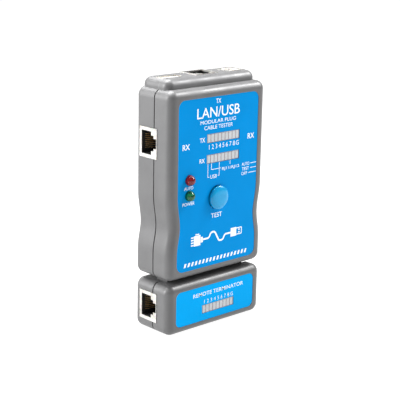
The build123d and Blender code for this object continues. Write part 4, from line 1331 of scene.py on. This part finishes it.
# %% [markdown]
# ## The TEST button's crown
# A finger finds this button by its swell: the face rises in one long curve and rolls over at the rim
# with no edge, which is what catches the light, over a neck that falls into shadow. A superellipse
# draws that profile with two numbers, and turning it about the axis makes the cap. The flange and its
# key, which keep the button in its hole and stop it turning, are part of the same moulding.

# %% Turn the TEST button
CROWN_RISE, CROWN_SQUARENESS, CROWN_STEPS = 1.7, 2.6, 16
RIM_STRAIGHT, RIM_SLOPE = 0.2, 0.3     # mm behind the crown, before the neck
NECK_IN = 0.7                          # mm that the neck stands in under the crown
FLANGE_STEP, FLANGE_THICK, KEY = 1.0, 1.0, 2.0
low, high, middle = reach("test_button")
flange_radius = (high.z - low.z) / 2
flange_front = high.y - FLANGE_THICK
crown_radius = flange_radius - FLANGE_STEP
neck_radius = crown_radius - NECK_IN
rim_end = low.y + CROWN_RISE + RIM_STRAIGHT
profile = []
for step in range(CROWN_STEPS + 1):
    angle = math.pi / 2 * step / CROWN_STEPS
    out = crown_radius * math.sin(angle) ** (2 / CROWN_SQUARENESS)
    drop = CROWN_RISE * (1 - max(0.0, math.cos(angle)) ** (2 / CROWN_SQUARENESS))
    profile.append((out, low.y + drop))
profile += [(crown_radius, rim_end), (neck_radius, rim_end + RIM_SLOPE), (neck_radius, flange_front),
            (flange_radius, flange_front), (flange_radius, high.y), (0, high.y)]
work = bmesh.new()
turned(work, profile, low.x + flange_radius, middle.z, segments=72)
key_size = Matrix.Diagonal((KEY, FLANGE_THICK, KEY, 1))
key_place = Matrix.Translation((high.x - KEY / 2, high.y - FLANGE_THICK / 2, middle.z))
bmesh.ops.create_cube(work, size=1.0, matrix=key_place @ key_size)
cap = make_piece("test_button_cap", as_mesh(work, "test_button_cap"), FINISHES["button_plastic"],
                 "test_button")
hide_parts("test_button")

# %% [markdown]
# ## Solder joints
# Every socket pin and lamp leg ends in a small shining cone of solder. There are ninety, all alike,
# so a tree sets one low cone on each point of a mesh that holds only the pins' places. The cones have
# twelve sides: nobody can count them at half a millimetre.

# %% Build the tree that sets a joint on each pin


def solder_tree():
    """Geometry Nodes that set a solder cone, pointing up, on each point."""
    tree = bpy.data.node_groups.new("solder_joints", "GeometryNodeTree")
    sockets = tree.interface
    sockets.new_socket(name="Pins", in_out="INPUT", socket_type="NodeSocketGeometry")
    for title, value in (("Pad Radius", 0.6), ("Tip Radius", 0.2), ("Height", 0.8)):
        made = sockets.new_socket(name=title, in_out="INPUT", socket_type="NodeSocketFloat")
        made.default_value = value
    sockets.new_socket(name="Finish", in_out="INPUT", socket_type="NodeSocketMaterial")
    sockets.new_socket(name="Joints", in_out="OUTPUT", socket_type="NodeSocketGeometry")
    nodes, links = tree.nodes, tree.links

    given = nodes.new("NodeGroupInput")
    given.label = "Pins and joint sizes"
    cone = nodes.new("GeometryNodeMeshCone")
    cone.label = "One joint"
    cone.inputs["Vertices"].default_value = 12
    copies = nodes.new("GeometryNodeInstanceOnPoints")
    copies.label = "A joint on each pin"
    real = nodes.new("GeometryNodeRealizeInstances")
    real.label = "Make them real"
    finish = nodes.new("GeometryNodeSetMaterial")
    finish.label = "Give them their finish"
    result = nodes.new("NodeGroupOutput")
    result.label = "Soldered pins"
    for column, node in enumerate((given, cone, copies, real, finish, result)):
        node.location = (220 * column, -140 * (node == cone))

    links.new(given.outputs["Pad Radius"], cone.inputs["Radius Bottom"])
    links.new(given.outputs["Tip Radius"], cone.inputs["Radius Top"])
    links.new(given.outputs["Height"], cone.inputs["Depth"])
    links.new(given.outputs["Pins"], copies.inputs["Points"])
    links.new(cone.outputs["Mesh"], copies.inputs["Instance"])
    links.new(copies.outputs["Instances"], real.inputs["Geometry"])
    links.new(real.outputs["Geometry"], finish.inputs["Geometry"])
    links.new(given.outputs["Finish"], finish.inputs["Material"])
    links.new(finish.outputs["Geometry"], result.inputs["Joints"])
    print("solder_joints tree has", len(nodes), "nodes")
    return tree


SOLDER = solder_tree()

# %% Find the pins and legs
PIN_PITCH = 1.02
ROW_SHIFT = 1.27                       # mm from a socket's or lamp's middle to each row of pins


def staggered_pins(node, count):
    """Two staggered rows of pins under a socket, across its middle."""
    low, high, middle = reach(node)
    lies_along_x = high.x - low.x > high.z - low.z
    pins = []
    for n in range(count):
        along = (n - (count - 1) / 2) * PIN_PITCH
        shift = ROW_SHIFT if n % 2 else -ROW_SHIFT
        if lies_along_x:
            pins.append((middle.x + shift, middle.z + along))
        else:
            pins.append((middle.x + along, middle.z + shift))
    return pins


def lamp_pins(node):
    """The legs of the nine flat lamps of a bar."""
    middle = reach(node)[2]
    columns = [middle.x + (n - LAMP_COUNT // 2) * LAMP_PITCH for n in range(LAMP_COUNT)]
    return [(x, middle.z + side) for x in columns for side in (-ROW_SHIFT, ROW_SHIFT)]


SOCKET_PINS = {
    "side_lan_jack_insert": 8, "top_lan_jack_insert": 8, "top_usb_a_insert": 4,
    "top_usb_b_insert": 4, "side_usb_insert": 4,
}
master_pins = [pin for node, count in SOCKET_PINS.items() for pin in staggered_pins(node, count)]
print(len(master_pins), "socket pins on the master's board")

# %% Solder the boards
SOCKET_JOINT, LAMP_JOINT = 0.8, 0.22   # mm that a joint stands up


def solder(name, pins, face, facing, height, body):
    """Joints on one face of a board: facing is -1 for its front and 1 for its back."""
    points = bpy.data.meshes.new("pins")
    points.from_pydata([(x, facing * -z, 0.0) for x, z in pins], [], [])
    joints = run_tree(SOLDER, points, {
        "Pad Radius": 0.5, "Tip Radius": 0.18, "Height": height, "Finish": FINISHES["tinned_metal"],
    })
    turn = Matrix.Rotation(-facing * math.pi / 2, 4, "X")
    make_piece(name, joints, FINISHES["tinned_metal"], body,
               Matrix.Translation((0, face, 0)) @ turn)


board_low, board_high, _ = reach("main_circuit_board")
far_board_low, far_board_high, _ = reach("remote_circuit_board")
master_legs = lamp_pins("tx_lamps") + lamp_pins("rx_lamps")
remote_pins = staggered_pins("remote_lan_jack_insert", 8)
remote_legs = lamp_pins("remote_lamps")
solder("socket_solder", master_pins, board_low.y, -1, SOCKET_JOINT, "master_unit")
solder("lamp_solder", master_legs, board_high.y, 1, LAMP_JOINT, "master_unit")
solder("remote_socket_solder", remote_pins, far_board_low.y, -1, SOCKET_JOINT, "remote_unit")
solder("remote_lamp_solder", remote_legs, far_board_high.y, 1, LAMP_JOINT, "remote_unit")

# %% [markdown]
# ## The battery's marks
# Open the door on the back and the battery shows its sleeve. It says its voltage and which stud is
# which, and its steel can is folded into a narrow rim at each end. The rim is the swept line once
# more, closed on itself, and it is laid flat first and then stood across the can.

# %% Mark the battery
can_low, can_high, can_middle = reach("battery")
BEHIND = Matrix.Rotation(math.pi, 4, "Z") @ Matrix.Rotation(math.pi / 2, 4, "X")
SIGN_IN = 3.6                          # mm from the can's end to its plus and minus
STUD_HALF = 6.35                       # half the distance between the studs
SIGN_HALF, STROKE_HALF = 1.3, 0.35
sheet = bmesh.new()
lay_words(sheet, "9 V", 12.0, can_middle.z, 7.0, None, 0.03)
sign_x = -can_high.x + SIGN_IN
for z in (can_middle.z - STUD_HALF, can_middle.z + STUD_HALF):
    lay_bar(sheet, sign_x - SIGN_HALF, z - STROKE_HALF, sign_x + SIGN_HALF, z + STROKE_HALF)
z = can_middle.z - STUD_HALF
lay_bar(sheet, sign_x - STROKE_HALF, z + STROKE_HALF, sign_x + STROKE_HALF, z + SIGN_HALF)
lay_bar(sheet, sign_x - STROKE_HALF, z - SIGN_HALF, sign_x + STROKE_HALF, z - STROKE_HALF)
RED_INK = screen_ink("red_screen_ink", (0.55, 0.02, 0.015), (0.25, 0.05, 0.05), 0.4)
make_piece("battery_marks", as_mesh(sheet, "battery_marks"), RED_INK, "master_unit",
           Matrix.Translation((0, can_high.y, 0)) @ BEHIND)

# %% Fold the can's rims
FOLD_WIDE, FOLD_THICK, FOLD_IN = 0.5, 0.55, 0.3
half_deep = (can_high.y - can_low.y - FOLD_WIDE) / 2
half_tall = (can_high.z - can_low.z - FOLD_WIDE) / 2
ring = [(-half_deep, -half_tall), (half_deep, -half_tall), (half_deep, half_tall), (-half_deep, half_tall)]
across = Matrix(((0, 0, 1, 0), (1, 0, 0, 0), (0, 1, 0, 0), (0, 0, 0, 1)))
ends = (("battery_rim_left", can_low.x + FOLD_IN), ("battery_rim_right", can_high.x - FOLD_IN))
for name, x in ends:
    fold = run_tree(SWEPT_LINE, path_mesh([ring], closed=True), {
        "Corner Radius": 1.6, "Width": FOLD_WIDE, "Thickness": FOLD_THICK,
        "Finish": FINISHES["screw_steel"],
    })
    make_piece(name, fold, FINISHES["screw_steel"], "master_unit",
               Matrix.Translation((x, can_middle.y, can_middle.z)) @ across)

# %% [markdown]
# ## The pad in the battery door
# A strip of foam glued inside the door presses on the battery. It is soft, so a plain CAD block is
# not enough: the strip is crowned in the middle and its edges sink where the glue holds them.

# %% Make the foam pad
COLUMNS, ROWS = 30, 16
SHOULDER = 9                           # how fast the foam swells away from its edge
EDGE_SWELL, THINNEST = 0.25, 0.1       # parts of the full thickness
DIMPLE = 0.03
pad_low, pad_high, _ = reach("battery_pad")
pad_size = pad_high - pad_low
work = bmesh.new()
grid = []
for column in range(COLUMNS + 1):
    u = column / COLUMNS
    grid.append([])
    for row_number in range(ROWS + 1):
        v = row_number / ROWS
        swell = min(1.0, SHOULDER * min(u, 1 - u, v, 1 - v) + EDGE_SWELL) ** 0.5
        dimple = DIMPLE * math.sin(23 * u + 5 * v) * math.sin(17 * v + 3 * u)
        depth = pad_high.y - pad_size.y * max(THINNEST, swell - abs(dimple))
        x = pad_low.x + u * pad_size.x
        z = pad_low.z + v * pad_size.z
        grid[-1].append((work.verts.new((x, depth, z)), work.verts.new((x, pad_high.y, z))))
for column in range(COLUMNS):
    for row_number in range(ROWS):
        square = [grid[column][row_number], grid[column + 1][row_number],
                  grid[column + 1][row_number + 1], grid[column][row_number + 1]]
        for layer in (0, 1):
            work.faces.new([corner[layer] for corner in square])
rim_cells = ([grid[c][0] for c in range(COLUMNS)] + [grid[COLUMNS][r] for r in range(ROWS)]
             + [grid[c][ROWS] for c in range(COLUMNS, 0, -1)] + [grid[0][r] for r in range(ROWS, 0, -1)])
for here, after in zip(rim_cells, rim_cells[1:] + rim_cells[:1]):
    work.faces.new([here[0], here[1], after[1], after[0]])
pad = make_piece("door_foam_pad", as_mesh(work, "door_foam_pad"), FINISHES["foam"], "battery_door")
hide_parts("battery_pad")

# %% [markdown]
# ## Studio
# The tester stands on a pale floor that glows a little, like a light table, so that its shadow nearly
# vanishes. Wide softboxes hang above and to the left and right, a small one puts a sparkle on rounded
# rims and on the lamps, and a white world fills the rest.
# The floor's finish is still a real one: a fine matt grain over an even white.

# %% Lay the floor
TABLE_GLOW, TABLE_SHADE = 0.95, 0.15
TABLE_RADIUS = 6.0                     # m
floor_finish, nodes, links = empty_material("pale_light_table")
place = nodes.new("ShaderNodeTexCoord")
place.label = "Place on the table"
grain = nodes.new("ShaderNodeTexNoise")
grain.label = "Matt grain"
grain.inputs["Scale"].default_value = 900.0
relief = nodes.new("ShaderNodeBump")
relief.label = "Grain felt by the light"
relief.inputs["Distance"].default_value = 0.01 * MM
table = nodes.new("ShaderNodeBsdfPrincipled")
table.label = "Glowing table"
table.inputs["Base Color"].default_value = (TABLE_SHADE, TABLE_SHADE, TABLE_SHADE, 1)
table.inputs["Roughness"].default_value = 0.9
table.inputs["Emission Color"].default_value = (1, 1, 1, 1)
table.inputs["Emission Strength"].default_value = TABLE_GLOW
output = nodes.new("ShaderNodeOutputMaterial")
output.label = "Table surface"
links.new(place.outputs["Object"], grain.inputs["Vector"])
links.new(grain.outputs[0], relief.inputs["Height"])
links.new(relief.outputs["Normal"], table.inputs["Normal"])
links.new(table.outputs["BSDF"], output.inputs["Surface"])
frame_effects(nodes, {"Grain": (place, grain, relief), "Surface": (table, output)})

work = bmesh.new()
bmesh.ops.create_circle(work, cap_ends=True, segments=96, radius=TABLE_RADIUS)
floor = bpy.data.objects.new("floor", as_mesh(work, "floor"))
floor.data.materials.append(floor_finish)
scene.collection.objects.link(floor)
print("floor radius", TABLE_RADIUS, "m")

# %% Hang the lights
SOFTBOXES = (
    # name, place and aim in m, width, height, watts
    ("overhead_softbox", (0.0, 0.26, 0.80), (0.0, 0.0, 0.1), 0.60, 0.60, 18.0),
    ("left_softbox", (-0.84, 0.48, 0.42), (0.0, 0.0, 0.07), 0.45, 0.65, 12.5),
    ("right_softbox", (0.76, -0.42, 0.70), (0.0, 0.0, 0.07), 0.40, 0.60, 7.0),
    ("small_sparkle", (0.62, -0.22, 0.74), (0.0, 0.0, 0.07), 0.22, 0.22, 4.5),
)
for name, spot, aim, width, height, watts in SOFTBOXES:
    lamp = bpy.data.lights.new(name, "AREA")
    lamp.shape = "RECTANGLE"
    lamp.size, lamp.size_y = width, height
    lamp.energy = watts
    holder = bpy.data.objects.new(name, lamp)
    holder.location = spot
    holder.rotation_euler = (Vector(aim) - Vector(spot)).to_track_quat("-Z", "Y").to_euler()
    scene.collection.objects.link(holder)
ROOM_LIGHT = 0.35
world = bpy.data.worlds.new("white_room")
world.use_nodes = True
world.node_tree.nodes["Background"].inputs["Color"].default_value = (1, 1, 1, 1)
world.node_tree.nodes["Background"].inputs["Strength"].default_value = ROOM_LIGHT
scene.world = world
scene.view_settings.view_transform = "Standard"
print("hung", len(SOFTBOXES), "lights")

# %% [markdown]
# ## Camera
# The tester is seen from its front left and a little above, through a long lens that keeps its sides
# nearly parallel. The camera is aimed at a point inside the object, and turned a degree about its own
# line of sight because the object leans that much in view.

# %% Set the camera
AIM = Vector((-1.0, -0.5, 67.0)) * MM
AZIMUTH, ELEVATION, ROLL = (math.radians(angle) for angle in (-43.04, 14.72, 1.11))
DISTANCE = 0.6191
lens = bpy.data.cameras.new("long_lens")
lens.lens = 104.15
lens.sensor_width = 36.0
lens.clip_start = 0.01
camera = bpy.data.objects.new("camera", lens)
turn = (Matrix.Rotation(AZIMUTH, 4, "Z") @ Matrix.Rotation(math.pi / 2 - ELEVATION, 4, "X")
        @ Matrix.Rotation(ROLL, 4, "Z"))
camera.matrix_world = Matrix.Translation(AIM) @ turn @ Matrix.Translation((0, 0, DISTANCE))
scene.collection.objects.link(camera)
scene.camera = camera
print("camera at", [round(value, 3) for value in camera.matrix_world.translation])
